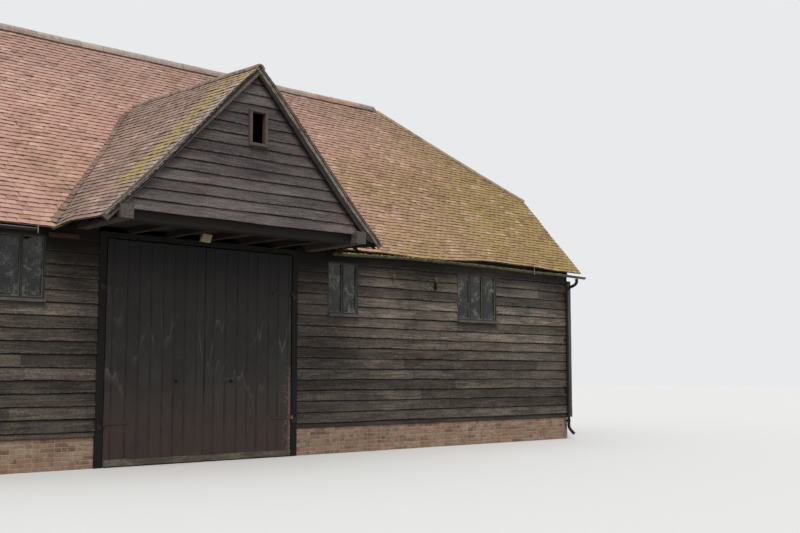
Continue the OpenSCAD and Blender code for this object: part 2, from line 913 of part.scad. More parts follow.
module window_glass() {
    color([0.55, 0.62, 0.64, 0.5]) in_plan() front_and_back() window_glass_row();
}

sill_out = 45;

module window_sills() {
    color(sage) in_plan() front_and_back() for (w = windows)
        block(w[0], w[0] + w[1], -sill_out, wall_t, sill_z - sill_h, sill_z);
}

// Rainwater goods and fittings

gutter_t = 4;
strap_proud = 3;
pipe_x = wall_x + 150;
outlet_h = 30;

module trough(r) {
    translate([-gutter_y, gutter_z]) intersection() {
        circle(r);
        translate([-r, -r]) square([2 * r, r]);
    }
}

// A strap round the gutter, and the arm that fixes it to a rafter's foot
module gutter_bracket(x) {
    inner = gutter_r - strap_proud - gutter_t / 2 - gutter_y;
    along_x(x - 15, x + 15) trough(gutter_r);
    block(x - 15, x + 15, inner, tail_y, gutter_z - 12, gutter_z - 2);
}

// Half-round, closed at its ends, with an outlet over each downpipe that is under it
module gutter_run(x0, x1, bracket_xs, outlet_xs) {
    difference() {
        union() {
            along_x(x0, x1) trough(gutter_r - strap_proud);
            for (x = bracket_xs) gutter_bracket(x);
            for (x = outlet_xs) translate([x, -gutter_y, gutter_z - gutter_r - outlet_h])
                cylinder(r = pipe_r, h = 2 * outlet_h);
        }
        along_x(x0 + gutter_t, x1 - gutter_t) translate([-gutter_y, gutter_z])
            circle(gutter_r - strap_proud - gutter_t);
    }
}

module gutters() {
    rafters = concat(spaced(bays[3][0], bays[3][1], rafter_step),
        spaced(bays[4][0], bays[4][1], rafter_step));
    brackets = [for (i = [1 : 3 : len(rafters) - 1]) rafters[i]];
    end = verge_low + 90;
    color(zinc) in_plan() {
        gutter_run(canopy_half + 90, end, brackets, [pipe_x]);
        mirror([1, 0, 0]) gutter_run(canopy_half + 400, end, brackets, [pipe_x]);
        turned_to_back()
            gutter_run(-end, end, concat(brackets, -1 * brackets), [-pipe_x, pipe_x]);
    }
}

pipe_bend_z = 3330;
pipe_wall_z = 3080;
pipe_foot_z = 120;
pipe_gap = 22;
clip_zs = [500, 1700, 2900];
clip_h = 30;

// A pipe between two points
module pipe_run(a, b) {
    d = b - a;
    translate(a) rotate([0, acos(d[2] / norm(d)), atan2(d[1], d[0])])
        cylinder(r = pipe_r, h = norm(d));
}

// From the gutter's outlet back to the wall and down it, held by clips
module downpipe() {
    wall_pipe = [wall_x - 60, -pipe_r - pipe_gap, 0];
    top = [pipe_x, -gutter_y, gutter_z - gutter_r - outlet_h];
    bend = [pipe_x, -gutter_y, pipe_bend_z];
    elbow = wall_pipe + [0, 0, pipe_wall_z];
    pipe_run(top, bend);
    pipe_run(bend, elbow);
    pipe_run(elbow, wall_pipe + [0, 0, pipe_foot_z]);
    for (joint = [bend, elbow]) translate(joint) sphere(pipe_r + 5);
    for (z = clip_zs) translate([wall_pipe[0], 0, z]) {
        translate([0, wall_pipe[1], 0]) cylinder(r = pipe_r + 5, h = clip_h);
        block(-clip_h, clip_h, wall_pipe[1] + pipe_r - 5, 0, 0, clip_h);
    }
}

module downpipes() {
    color(zinc) in_plan() both_sides() front_and_back() downpipe();
}

// A peg is its place along the wall, its underside and its height
pegs = [[4180, 3210, 110], [5320, 3080, 240]];
peg_w = 30;
peg_out = 60;

module wall_pegs() {
    color(oak_dark) in_plan() for (p = pegs)
        block(p[0] - peg_w / 2, p[0] + peg_w / 2, -peg_out, 0, p[1], p[1] + p[2]);
}

lamp_x = -450;
lamp_y = -700;
lamp_w = 190;
lamp_d = 80;
lamp_h = 70;

// Hung from the soffit boards by a short stem
module canopy_lamp() {
    color([0.8, 0.78, 0.66]) in_plan() translate([lamp_x, lamp_y, plate_z - lamp_h - 18]) {
        block(-lamp_w / 2, lamp_w / 2, -lamp_d / 2, lamp_d / 2, 0, lamp_h);
        block(-30, 30, -15, 15, lamp_h, joist_h + lamp_h + 18);
    }
}

// Doors. Each is drawn as the right-hand leaf, and the left one is its mirror image.

arm_h = 22;
arm_gap = 2;
pin_top = 14;
plate_t = 8;

// A hook on the door post: the upright pin, its arm, and the plate it is fixed by
module pintle() {
    inner = door_w / 2 + 2;
    arm_x = door_w / 2 + 20;
    foot = -arm_gap - arm_h;
    translate([hinge_x, pin_y, foot]) cylinder(r = pin_r, h = eye_h + pin_top - foot);
    block(hinge_x, arm_x, pin_y - pin_r, pin_y + pin_r, foot, -arm_gap);
    block(inner, arm_x, pin_y, 0, foot, -arm_gap);
    block(inner, jamb_x - 30, -plate_t, 0, -arm_h - 40, arm_h);
}

module hinge_pintles() {
    color(iron_black) in_plan() both_sides() for (z = hinge_zs) translate([0, 0, z]) pintle();
}

leaf_in = leaf_gap / 2;
kick_h = 100;
kick_t = 16;

// The leaf, with a strip along its foot that stops short of the hinges' side
module door_boards() {
    color(board_black) in_plan() {
        block(leaf_in, leaf_in + leaf_w, 0, leaf_t, leaf_foot, door_top);
        block(leaf_in, leaf_w - 60, -kick_t, 0, leaf_foot, leaf_foot + kick_h);
    }
}

ledge_zs = [260, 1700, 3180];
ledge_h = 150;
ledge_end = 30;

// Three ledges across the leaf's back, and braces that rise from the hinges' side
module door_ledges() {
    hinge_side = leaf_in + leaf_w - ledge_end;
    color(oak_dark) in_plan() {
        for (z = ledge_zs)
            block(leaf_in + ledge_end, hinge_side, leaf_t, leaf_t + ledge_t, z, z + ledge_h);
        for (i = [0, 1]) along_y(leaf_t, leaf_t + ledge_t) polygon([
            [hinge_side - ledge_h - 10, ledge_zs[i] + ledge_h],
            [hinge_side - 10, ledge_zs[i] + ledge_h],
            [leaf_in + ledge_end + ledge_h + 10, ledge_zs[i + 1]],
            [leaf_in + ledge_end + 10, ledge_zs[i + 1]]]);
    }
}

strap_len = 400;
strap_t = 7;
pin_play = 0.6;

// A strap along the leaf's face, cranked out to an eye that turns on the pintle
module door_hinges() {
    color(iron_black) in_plan() for (z = hinge_zs) translate([hinge_x, 0, z]) difference() {
        union() {
            translate([0, pin_y, 0]) cylinder(r = eye_r, h = eye_h);
            block(-eye_r - 20, 0, pin_y - 4, 0, 0, eye_h);
            block(-20 - strap_len, -20, -strap_t, 0, 5, eye_h - 5);
        }
        translate([0, pin_y, -slack]) cylinder(r = pin_r + pin_play, h = eye_h + 2 * slack);
    }
}

knob_x = 525;
knob_z = 1300;
knob_r = 20;
knob_out = 40;

module door_knob() {
    color(iron_black) in_plan() translate([knob_x, 0, knob_z]) rotate([90, 0, 0]) {
        cylinder(r = 1.5 * knob_r, h = 6);
        cylinder(r = 9, h = knob_out);
        translate([0, 0, knob_out]) sphere(knob_r);
    }
}

plinth_front(-wall_x + plinth_set, -jamb_x);  // plinth_front_left
plinth_front(jamb_x, wall_x - plinth_set);  // plinth_front_right
plinth_back();
plinth_ends();
front_wall(-wall_x, -jamb_x, -frame_near);  // front_wall_left
front_wall(jamb_x, wall_x, frame_near);  // front_wall_right
back_wall();
mirror([1, 0, 0]) end_wall();  // left_end_wall
end_wall();  // right_end_wall
sill_beams();
frame_posts();
gable_posts();
wall_plates();
cross_beams();
curved_braces();
plate_braces();
wall_studs();
principal_rafters();
truss_struts();
purlins();
common_rafters();
hip_and_valley_rafters();
door_posts();
door_head();
roof_front(-verge_x, -canopy_half, tile_red);  // roof_front_left
roof_front(-canopy_half, 0, tile_red);  // roof_front_mid_left
roof_front(0, canopy_half, tile_brown);  // roof_front_mid_right
roof_front(canopy_half, verge_x, tile_brown);  // roof_front_right
roof_back();
half_hips();
ridge_tiles();
hip_tiles();
canopy_roof_left();
canopy_roof_right();
canopy_ridge_tiles();
canopy_gable();
gable_vent_frame();
canopy_beam();
bargeboards();
soffit_joists();
soffit_boards();
window_frames();
window_glass();
window_sills();
gutters();
downpipes();
wall_pegs();
canopy_lamp();
hinge_pintles();
mirror([1, 0, 0]) door_boards();  // left_door_boards
mirror([1, 0, 0]) door_ledges();  // left_door_ledges
mirror([1, 0, 0]) door_hinges();  // left_door_hinges
mirror([1, 0, 0]) door_knob();  // left_door_knob
door_boards();  // right_door_boards
door_ledges();  // right_door_ledges
door_hinges();  // right_door_hinges
door_knob();  // right_door_knob
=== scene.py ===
"""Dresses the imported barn: tiles, weatherboards, bricks, planks and fittings as meshes, with
procedural materials. Metres, in the frame of the CAD model."""

import math

import bpy
import numpy as np
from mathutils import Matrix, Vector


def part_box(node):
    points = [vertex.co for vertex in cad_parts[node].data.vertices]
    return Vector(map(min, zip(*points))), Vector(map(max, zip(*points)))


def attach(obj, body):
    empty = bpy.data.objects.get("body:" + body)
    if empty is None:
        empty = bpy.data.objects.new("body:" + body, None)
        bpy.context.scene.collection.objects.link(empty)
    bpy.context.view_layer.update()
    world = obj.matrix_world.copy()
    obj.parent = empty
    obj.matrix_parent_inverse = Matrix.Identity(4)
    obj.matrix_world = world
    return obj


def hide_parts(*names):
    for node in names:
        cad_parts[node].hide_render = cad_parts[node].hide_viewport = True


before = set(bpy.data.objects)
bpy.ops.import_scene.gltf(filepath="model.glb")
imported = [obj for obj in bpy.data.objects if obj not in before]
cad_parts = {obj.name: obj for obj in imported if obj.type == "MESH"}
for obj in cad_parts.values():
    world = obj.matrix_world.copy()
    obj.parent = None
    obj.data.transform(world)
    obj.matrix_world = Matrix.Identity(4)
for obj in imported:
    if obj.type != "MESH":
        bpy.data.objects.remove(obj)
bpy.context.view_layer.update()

# Places, taken from the frame

FRONT_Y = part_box("front_wall_left")[0].y
BACK_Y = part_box("back_wall")[1].y
WALL_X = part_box("right_end_wall")[1].x
WALL_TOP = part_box("back_wall")[1].z
WALL_T = 0.10
JAMB_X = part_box("door_posts")[1].x
PLINTH_X, PLINTH_BACK_Y, PLINTH_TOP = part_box("plinth_back")[1]
PLINTH_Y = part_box("plinth_front_left")[0].y
PLINTH_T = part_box("plinth_front_left")[1].y - PLINTH_Y

EAVE_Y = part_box("roof_front_left")[0].y
BACK_EAVE_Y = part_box("roof_back")[1].y
RIDGE_Y = (EAVE_Y + BACK_EAVE_Y) / 2
RIDGE_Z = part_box("roof_back")[1].z
EAVE_Z = RIDGE_Z - (RIDGE_Y - EAVE_Y)
VERGE_LOW_X = WALL_X + 0.24
HIP_X, HIP_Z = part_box("half_hips")[1].x, 5.45
VERGE_TOP_X = HIP_X - 0.04
RIDGE_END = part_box("ridge_tiles")[1].x
HIP_FALL = (RIDGE_Z - HIP_Z) / (HIP_X - RIDGE_END)

CANOPY_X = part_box("canopy_roof_right")[1].x
CANOPY_RIDGE_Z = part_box("canopy_roof_right")[1].z
CANOPY_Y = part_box("canopy_roof_right")[0].y
CANOPY_Z = 3.57
CANOPY_FALL = (CANOPY_RIDGE_Z - CANOPY_Z) / CANOPY_X
GABLE_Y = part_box("canopy_gable")[0].y
COVER_T = 0.07


# Meshes of many small things


def linked(name, data):
    thing = bpy.data.objects.new(name, data)
    bpy.context.scene.collection.objects.link(thing)
    return thing


def shown(name, mesh, replaces=(), body="barn"):
    """A piece that rides on a body, and can take the place of CAD nodes."""
    thing = linked(name, mesh)
    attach(thing, body)
    if replaces:
        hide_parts(*replaces)
    return thing


BOX_CORNERS = np.array([[0, 0, 0], [1, 0, 0], [1, 1, 0], [0, 1, 0],
                        [0, 0, 1], [1, 0, 1], [1, 1, 1], [0, 1, 1]], float)
BOX_FACES = [[0, 3, 2, 1], [4, 5, 6, 7], [0, 1, 5, 4], [1, 2, 6, 5], [2, 3, 7, 6], [3, 0, 4, 7]]
EIGHTHS = np.radians(np.arange(8) * 45.0)


class Heap:
    """Collects small solids, and makes one mesh of them with their shades."""

    def __init__(self):
        self.points, self.faces, self.tints, self.fades, self.damps = [], [], [], [], []
        self.count = 0

    def add(self, points, faces, tint=0.5, fade=0.0, damp=0.0):
        """points is n x k x 3 and faces m x 4. tint can have a value for each of the n solids,
        fade one for each of the k points, and damp one for every point."""
        points, faces = np.asarray(points, float), np.asarray(faces)
        number, corners = points.shape[:2]
        shift = self.count + corners * np.arange(number)[:, None, None]
        self.points.append(points.reshape(-1, 3))
        self.faces.append((faces[None] + shift).reshape(-1, 4))
        self.tints.append(np.repeat(np.broadcast_to(tint, number), len(faces)))
        self.fades.append(np.broadcast_to(fade, (number, corners)).ravel())
        self.damps.append(np.broadcast_to(damp, (number, corners)).ravel())
        self.count += number * corners

    def shell(self, sheets, tint=0.5, fade=0.0, damp=0.0):
        """A closed slab. sheets has the rows of points of its top, and then of its bottom."""
        sheets = np.asarray(sheets, float)
        rows, columns = sheets.shape[:2]
        self.add(sheets.reshape(1, -1, 3), shell_faces(rows // 2, columns), tint, fade, damp)

    def box(self, low, high, tint=0.5):
        low, high = np.array(low, float), np.array(high, float)
        self.add((low + BOX_CORNERS * (high - low))[None], BOX_FACES, tint)

    def sweep(self, rings, tint=0.5):
        """A closed solid through rings of eight points."""
        rings = np.asarray(rings, float)
        start = 8 * np.arange(len(rings) - 1)[:, None]
        side = np.arange(8)[None]
        ahead = (side + 1) % 8
        walls = np.stack([start + side, start + ahead, start + 8 + ahead, start + 8 + side], -1)
        cap = np.array([[3, 2, 1, 0], [7, 4, 3, 0], [7, 6, 5, 4]])
        far_cap = cap[:, ::-1] + 8 * (len(rings) - 1)
        faces = np.concatenate([walls.reshape(-1, 4), cap, far_cap])
        self.add(rings.reshape(1, -1, 3), faces, tint)

    def piece(self, name, finish, slot, replaces=(), body="barn", smooth=False):
        points, faces = np.concatenate(self.points), np.concatenate(self.faces)
        mesh = bpy.data.meshes.new(name)
        mesh.vertices.add(len(points))
        mesh.vertices.foreach_set("co", points.astype(np.float32).ravel())
        mesh.loops.add(faces.size)
        mesh.loops.foreach_set("vertex_index", faces.astype(np.int32).ravel())
        mesh.polygons.add(len(faces))
        mesh.polygons.foreach_set("loop_start", np.arange(0, faces.size, 4, dtype=np.int32))
        mesh.update(calc_edges=True)
        for attribute, domain, values in (("tint", "FACE", self.tints),
                                          ("fade", "POINT", self.fades),
                                          ("damp", "POINT", self.damps)):
            layer = mesh.attributes.new(attribute, "FLOAT", domain)
            layer.data.foreach_set("value", np.concatenate(values).astype(np.float32))
        mesh.polygons.foreach_set("use_smooth", np.full(len(faces), smooth))
        mesh.materials.append(finishes[finish])
        return shown(name, mesh, replaces, body)


def grid_faces(rows, columns, first=0):
    """Faces of a sheet of rows x columns points."""
    corner = first + np.arange(rows - 1)[:, None] * columns + np.arange(columns - 1)[None]
    corner = corner.ravel()
    return np.stack([corner, corner + 1, corner + columns + 1, corner + columns], 1)


def shell_faces(rows, columns):
    """Faces of a closed slab: a top and a bottom sheet of rows x columns points, and its rim."""
    under = rows * columns
    top = grid_faces(rows, columns)
    bottom = grid_faces(rows, columns, under)[:, ::-1]
    rim = np.concatenate([np.arange(columns), np.arange(2, rows + 1) * columns - 1,
                          (rows - 1) * columns + np.arange(columns - 2, -1, -1),
                          np.arange(rows - 2, 0, -1) * columns])
    ahead = np.roll(rim, -1)
    sides = np.stack([rim, rim + under, ahead + under, ahead], 1)
    return np.concatenate([top, bottom, sides])


def ripple(a, b, size, seed):
    """Smooth waves between about -1 and 1 over the plane of a and b, about size across."""
    dice = np.random.default_rng(seed)
    total = np.zeros(np.broadcast(a, b).shape)
    for octave in range(5):
        turn, start = dice.uniform(0, 2 * math.pi, 2)
        count = 2 * math.pi / size * (0.7 + 0.4 * octave)
        total += np.sin(count * (a * math.cos(turn) + b * math.sin(turn)) + start) / (1.5 + octave)
    return total / 1.6


def arc(centre, radius, turns, side, up):
    """Points round a centre, turned from the axis up towards the axis side."""
    return centre + radius * (np.sin(turns)[:, None] * side + np.cos(turns)[:, None] * up)


def timber(heap, low, high, seed, bend=np.array, ease=0.010, wander=0.005):
    """A hewn beam along its longest side, with eased edges and faces that wander a little."""
    dice = np.random.default_rng(seed)
    low, high = np.array(low, float), np.array(high, float)
    axis = int(np.argmax(high - low))
    one, two = [k for k in range(3) if k != axis]
    steps = max(3, int((high - low)[axis] / 0.30) + 1)
    rings = np.empty((steps, 8, 3))
    rings[..., axis] = np.linspace(low[axis], high[axis], steps)[:, None]
    a0, a1, b0, b1, e = low[one], high[one], low[two], high[two], ease
    rings[..., one] = [a0 + e, a1 - e, a1, a1, a1 - e, a0 + e, a0, a0]
    rings[..., two] = [b0, b0, b0 + e, b1 - e, b1, b1, b1 - e, b0 + e]
    inward = np.sign((low + high) / 2 - rings)
    inward[..., axis] = 0
    rings += inward * wander * dice.random((steps, 8, 1))
    heap.sweep(bend(rings), dice.random())


def pipe_run(heap, path, radius):
    """A round pipe along a path that turns about the x axis, its corners rounded off."""
    path = np.array(path, float)
    for _ in range(2):
        near = path[:-1] * 0.75 + path[1:] * 0.25
        far = path[:-1] * 0.25 + path[1:] * 0.75
        path = np.concatenate([path[:1], np.stack([near, far], 1).reshape(-1, 3), path[-1:]])
    side = np.array([1.0, 0.0, 0.0])
    rings = []
    for i, point in enumerate(path):
        ahead = path[min(i + 1, len(path) - 1)] - path[max(i - 1, 0)]
        up = np.cross(ahead / np.linalg.norm(ahead), side)
        rings.append(arc(point, radius, EIGHTHS, up / np.linalg.norm(up), side))
    heap.sweep(rings)


def eased(thing, width, segments=2):
    bevel = thing.modifiers.new("eased", "BEVEL")
    bevel.width, bevel.segments = width, segments


# How an old roof has settled

RIDGE_DIP, LOCAL_DIP = 0.028, 0.017
HIP_LIFT, HIP_LIFT_H = 0.15, 1.6
EAVES_X = [-9.7, -5.0, -3.6, -2.6, 2.6, 3.7, 4.1, 4.5, 5.3, 5.75, 6.5, 7.25, 8.1, 8.9, 9.9]
EAVES_RISE = [-0.02, -0.03, -0.05, -0.06, 0.07, 0.085, 0.07, 0.05, 0.057, 0.085, 0.14, 0.14, 0.122,
              0.09, 0.07]
CANOPY_SHARES = [0.0, 0.7, 1.0]
LEFT_EAVE_RISE = [0.09, 0.05, -0.04]
RIGHT_EAVE_RISE = [0.07, 0.09, 0.09]
APEX_DROP, APEX_DROP_Z = 0.06, 5.6
VALLEY_OFFSET, VALLEY_SWEEP, SWEEP_TOP_Z = 0.10, 0.15, 5.2
VALLEY_WAVE, VALLEY_WAVE_SIZE = 0.012, 0.21


def unit(value):
    """The value, kept between 0 and 1."""
    return np.clip(value, 0, 1)


def settled(points):
    """The points, lowered where the roof has sunk between its trusses. Nothing is raised."""
    x, y, z = points[..., 0], points[..., 1], points[..., 2]
    height = unit((z - EAVE_Z) / (RIDGE_Z - EAVE_Z))
    long_wave = 0.5 + 0.5 * ripple(x, 0.3 * y, 7.0, 11)
    short_wave = 0.5 + 0.5 * ripple(x, y, 1.2, 12)
    drop = RIDGE_DIP * unit(long_wave) * height + LOCAL_DIP * unit(short_wave)
    moved = points.copy()
    moved[..., 2] = z - drop
    return moved


def hip_lift(z):
    """How far a half-hip is raised at a height, most at its foot, which flares like a bell."""
    return HIP_LIFT * unit(1 - (z - HIP_Z) / HIP_LIFT_H) ** 1.3


def hip_reach(z):
    """How far a long slope reaches from the middle of the barn at a height."""
    share = (z - EAVE_Z) / (HIP_Z + HIP_LIFT - EAVE_Z)
    verge = VERGE_LOW_X + (VERGE_TOP_X - VERGE_LOW_X) * share
    level = z
    for _ in range(4):
        level = z - hip_lift(level)
    return np.minimum(verge, HIP_X - (level - HIP_Z) / HIP_FALL)


def flared(places):
    """A half-hip's places, raised, and drawn in to stay on the long slopes."""
    moved = places.copy()
    lift = hip_lift(places[..., 2])
    below = np.maximum(RIDGE_Z - places[..., 2], 0.05)
    moved[..., 2] += lift
    moved[..., 1] = RIDGE_Y + (places[..., 1] - RIDGE_Y) * (below - lift) / below
    return moved


def valley_reach(z):
    """How far a straight valley would stand from the middle of the barn at a height."""
    return np.maximum((CANOPY_RIDGE_Z - z) / CANOPY_FALL, 0)


def left_sweep(z):
    """How far the left valley stands out over the long slope at a height."""
    swept = VALLEY_OFFSET + VALLEY_SWEEP * unit((SWEEP_TOP_Z - z) / (SWEEP_TOP_Z - EAVE_Z))
    return swept * unit((CANOPY_RIDGE_Z - z) / 0.35)


def left_valley(z):
    return -valley_reach(z) - left_sweep(z) + VALLEY_WAVE * ripple(z, 0.0, VALLEY_WAVE_SIZE, 41)


def right_valley(z):
    return valley_reach(z) + VALLEY_WAVE * ripple(z, 0.0, VALLEY_WAVE_SIZE, 42)


def canopy_depth(z):
    """The y at which the canopy's slope runs into the long one at a height."""
    return EAVE_Y + z - EAVE_Z


def foot_share(places, reach_z):
    """1 at the eaves, falling smoothly to 0 at a height above them."""
    return unit(1 - (places[..., 2] - EAVE_Z) / reach_z) ** 2


def wavy_eaves(places):
    """A long slope's courses, bent up and down the slope where its old eaves wander."""
    rise = np.interp(places[..., 0], EAVES_X, EAVES_RISE) * foot_share(places, 1.5)
    moved = places.copy()
    moved[..., 1] += rise
    moved[..., 2] += rise
    return moved


def bent_canopy(places, eave_rise):
    """A canopy slope, raised at its eaves and lowered at the apex of its verge, and for each
    point its share of the way from the verge to the valley."""
    y, z = places[..., 1], places[..., 2]
    share = unit((y - CANOPY_Y) / (canopy_depth(z) - CANOPY_Y))
    rise = np.interp(share, CANOPY_SHARES, eave_rise) * foot_share(places, 1.0)
    high = unit((z - APEX_DROP_Z) / (CANOPY_RIDGE_Z - APEX_DROP_Z))
    moved = places.copy()
    moved[..., 2] += rise - APEX_DROP * high ** 2 * (1 - share)
    return moved, share


def swept_left(places):
    """The canopy's left slope, drawn out towards the long slope as it nears the valley."""
    moved, share = bent_canopy(places, LEFT_EAVE_RISE)
    moved[..., 0] -= left_sweep(places[..., 2]) * share ** 1.3
    return moved


def bent_right(places):
    return bent_canopy(places, RIGHT_EAVE_RISE)[0]


# Tiled slopes


class Slope:
    """A plane of the roof: u runs along its eaves and v up it. least and most give the ends of u
    at a height, and warp bends the places."""

    def __init__(self, corner, along, up, top_z, least, most, warp=np.array):
        self.corner = np.array(corner, float)
        self.along = np.array(along, float)
        self.up = np.array(up, float) / np.linalg.norm(up)
        self.out = np.cross(self.along, self.up)
        if self.out[2] < 0:
            self.out = -self.out
        self.length = (top_z - corner[2]) / self.up[2]
        self.least, self.most, self.warp = least, most, warp

    def limits(self, v):
        z = self.corner[2] + np.asarray(v) * self.up[2]
        return self.least(z), self.most(z)

    def points(self, u, v, h):
        u, v, h = np.broadcast_arrays(u, v, h)
        return self.warp(self.corner + u[..., None] * self.along + v[..., None] * self.up
                         + h[..., None] * self.out)


def at(value):
    """The same place at every height."""
    return lambda z: np.full(np.shape(z), float(value))


def long_slope(least, most, eave_y=EAVE_Y, warp=wavy_eaves):
    toward_ridge = (0, np.sign(RIDGE_Y - eave_y), 1)
    return Slope((0, eave_y, EAVE_Z), (1, 0, 0), toward_ridge, RIDGE_Z, least, most, warp)


def canopy_slope(side, warp):
    return Slope((side * CANOPY_X, 0, CANOPY_Z), (0, 1, 0), (-side, 0, CANOPY_FALL),
                 CANOPY_RIDGE_Z, at(CANOPY_Y), canopy_depth, warp)


def half_hip(side):
    return Slope((side * HIP_X, RIDGE_Y, HIP_Z), (0, 1, 0), (-side, 0, HIP_FALL), RIDGE_Z,
                 lambda z: z - RIDGE_Z, lambda z: RIDGE_Z - z, flared)


def left_hip_reach(z):
    return -hip_reach(z)


slopes = {
    "roof_front_left": [long_slope(left_hip_reach,
                                   lambda z: np.minimum(-CANOPY_X, left_valley(z)))],
    "roof_front_mid_left": [long_slope(at(-CANOPY_X), left_valley)],
    "roof_front_mid_right": [long_slope(right_valley, at(CANOPY_X))],
    "roof_front_right": [long_slope(at(CANOPY_X), hip_reach)],
    "roof_back": [long_slope(left_hip_reach, hip_reach, BACK_EAVE_Y, np.array)],
    "half_hips": [half_hip(-1), half_hip(1)],
    "canopy_roof_left": [canopy_slope(-1, swept_left)],
    "canopy_roof_right": [canopy_slope(1, bent_right)],
}

TILE_GAUGE = 0.106
TILE_WIDTH = 0.165
TILE_LENGTH = 0.180
TILE_THICK = 0.011
TILE_JOINT = 0.0025
TILE_RISE = 0.020
TILE_CAMBER = 0.002 * np.array([-1.0, 1.0, -1.0])
TILE_TOP = -0.008
TILE_COLUMNS = 3
TILE_LEAST = 0.012
TILE_FACES = shell_faces(2, TILE_COLUMNS)
TILE_FADE = np.repeat([0.0, 1.0, 0.56, 1.0], TILE_COLUMNS)
SLIPPED_SHARE = 0.003


def tile_course(heap, slope, v0, sunk, dice, damp_at):
    """One course of tiles with its lower edge at v0, cut off at the slope's edges."""
    (least, most), (high_least, high_most) = slope.limits(v0), slope.limits(v0 + TILE_LENGTH)
    least, most = float(min(least, high_least)), float(max(most, high_most))
    first = least - dice.uniform(0, 0.06) - TILE_WIDTH * (round(v0 / TILE_GAUGE) % 2) / 2
    count = int((most - first) / TILE_WIDTH) + 2
    if most - least < TILE_JOINT:
        return
    each = (count, 1)
    start = first + TILE_WIDTH * np.arange(count) + dice.normal(0, 0.002, count)
    share = np.linspace(0, 1, TILE_COLUMNS)[None]
    u = start[:, None] + TILE_JOINT / 2 + (TILE_WIDTH - TILE_JOINT) * share
    skew = dice.normal(0, 0.0014, each) * (share - 0.5) * 2
    slip = np.where(dice.random(each) < SLIPPED_SHARE, dice.uniform(0.012, 0.03, each), 0)
    wave = 0.008 * ripple(u, v0, 0.8, 31)
    lower = np.maximum(v0 + wave + skew + dice.normal(0, 0.0022, each) - slip, 0)
    upper = np.minimum(np.full(lower.shape, v0 + TILE_LENGTH), slope.length)
    lower = np.minimum(lower, upper - 0.004)
    twist = dice.normal(0, 0.0012, each) * (share - 0.5) * 2
    lift = dice.normal(0, 0.0018, each)
    camber = TILE_CAMBER[None] * dice.uniform(0.3, 1.3, each)
    top = np.minimum(TILE_TOP + sunk + lift + twist + camber, 0)
    ends = [(np.clip(u, *slope.limits(v)), v, h)
            for v, h in ((lower, top), (upper, top - TILE_RISE))]
    points = np.concatenate([slope.points(a, v, h - thick) for thick in (0.0, TILE_THICK)
                             for a, v, h in ends], 1)
    kept = np.maximum(np.ptp(ends[0][0], axis=1), np.ptp(ends[1][0], axis=1)) > TILE_LEAST
    if kept.any():
        points = settled(points[kept])
        tint = dice.random(count)[kept]
        damp = damp_at(points) + 0.12 * dice.normal(size=(kept.sum(), 1))
        heap.add(points, TILE_FACES, tint, TILE_FADE, damp)


def lay_tiles(heap, slope, seed, damp_at):
    """Courses up the slope, with a second layer of tiles under the first course."""
    dice = np.random.default_rng(seed)
    courses = max(1, round(slope.length / TILE_GAUGE))
    gauge = slope.length / courses
    tile_course(heap, slope, 0.004, -TILE_THICK - 0.008, dice, damp_at)
    for course in range(courses):
        tile_course(heap, slope, course * gauge, 0.0, dice, damp_at)


DECK_TOP, DECK_T, DECK_BOARD, DECK_COLUMNS = -0.054, 0.018, 0.19, 9
DECK_START, DECK_GAP, DECK_JOINT, DECK_LEAST = 0.05, 0.006, 0.003, 0.02
PLAIN_LENGTHS = (2.5, 4.5)


def lay_deck(heap, slope, seed):
    """Rough boards under the tiles, seen from inside."""
    dice = np.random.default_rng(seed)
    v = DECK_START
    while v < slope.length - DECK_LEAST:
        width = DECK_BOARD * dice.uniform(0.8, 1.1)
        top = min(v + width - DECK_GAP, slope.length)
        least, most = slope.limits(np.array([v, top]))
        u, end = float(least.min()), float(most.max())
        while u < end - 0.05:
            far = min(u + dice.uniform(*PLAIN_LENGTHS), end)
            span = np.linspace(u, far - DECK_JOINT, DECK_COLUMNS)
            rows = [(np.clip(span, *slope.limits(edge)), edge) for edge in (v, top)]
            if max(np.ptp(row) for row, edge in rows) > DECK_LEAST:
                heap.shell([settled(slope.points(row, edge, DECK_TOP - depth))
                            for depth in (0, DECK_T) for row, edge in rows], dice.random())
            u = far
        v += width


# Weatherboards

BOARD_GAUGE, BOARD_LAP, BOARD_T, BOARD_TAPER = 0.20, 0.030, 0.026, 0.024
BOARD_STEP, BOARD_EASE = 0.14, 0.003
BOARD_ROWS = (0.0, 0.05, 0.5, 0.82, 1.0)
FACE_DEPTH = 0.043
LINING_WIDTH, LINING_SCRAP = 0.22, 0.5


def cut_round(openings, x0, x1, z0, z1):
    """The parts of a board that are left beside, under and over the openings."""
    parts = [(x0, x1, z0, z1)]
    for left, right, low, high in openings:
        kept = []
        for a, b, foot, head in parts:
            if b <= left or a >= right or head <= low or foot >= high:
                kept.append((a, b, foot, head))
                continue
            if a < left:
                kept.append((a, left, foot, head))
            if b > right:
                kept.append((right, b, foot, head))
            if foot < low:
                kept.append((max(a, left), min(b, right), foot, low))
            if head > high:
                kept.append((max(a, left), min(b, right), high, head))
        parts = kept
    return [part for part in parts if part[1] - part[0] > 0.01 and part[3] - part[2] > 0.012]


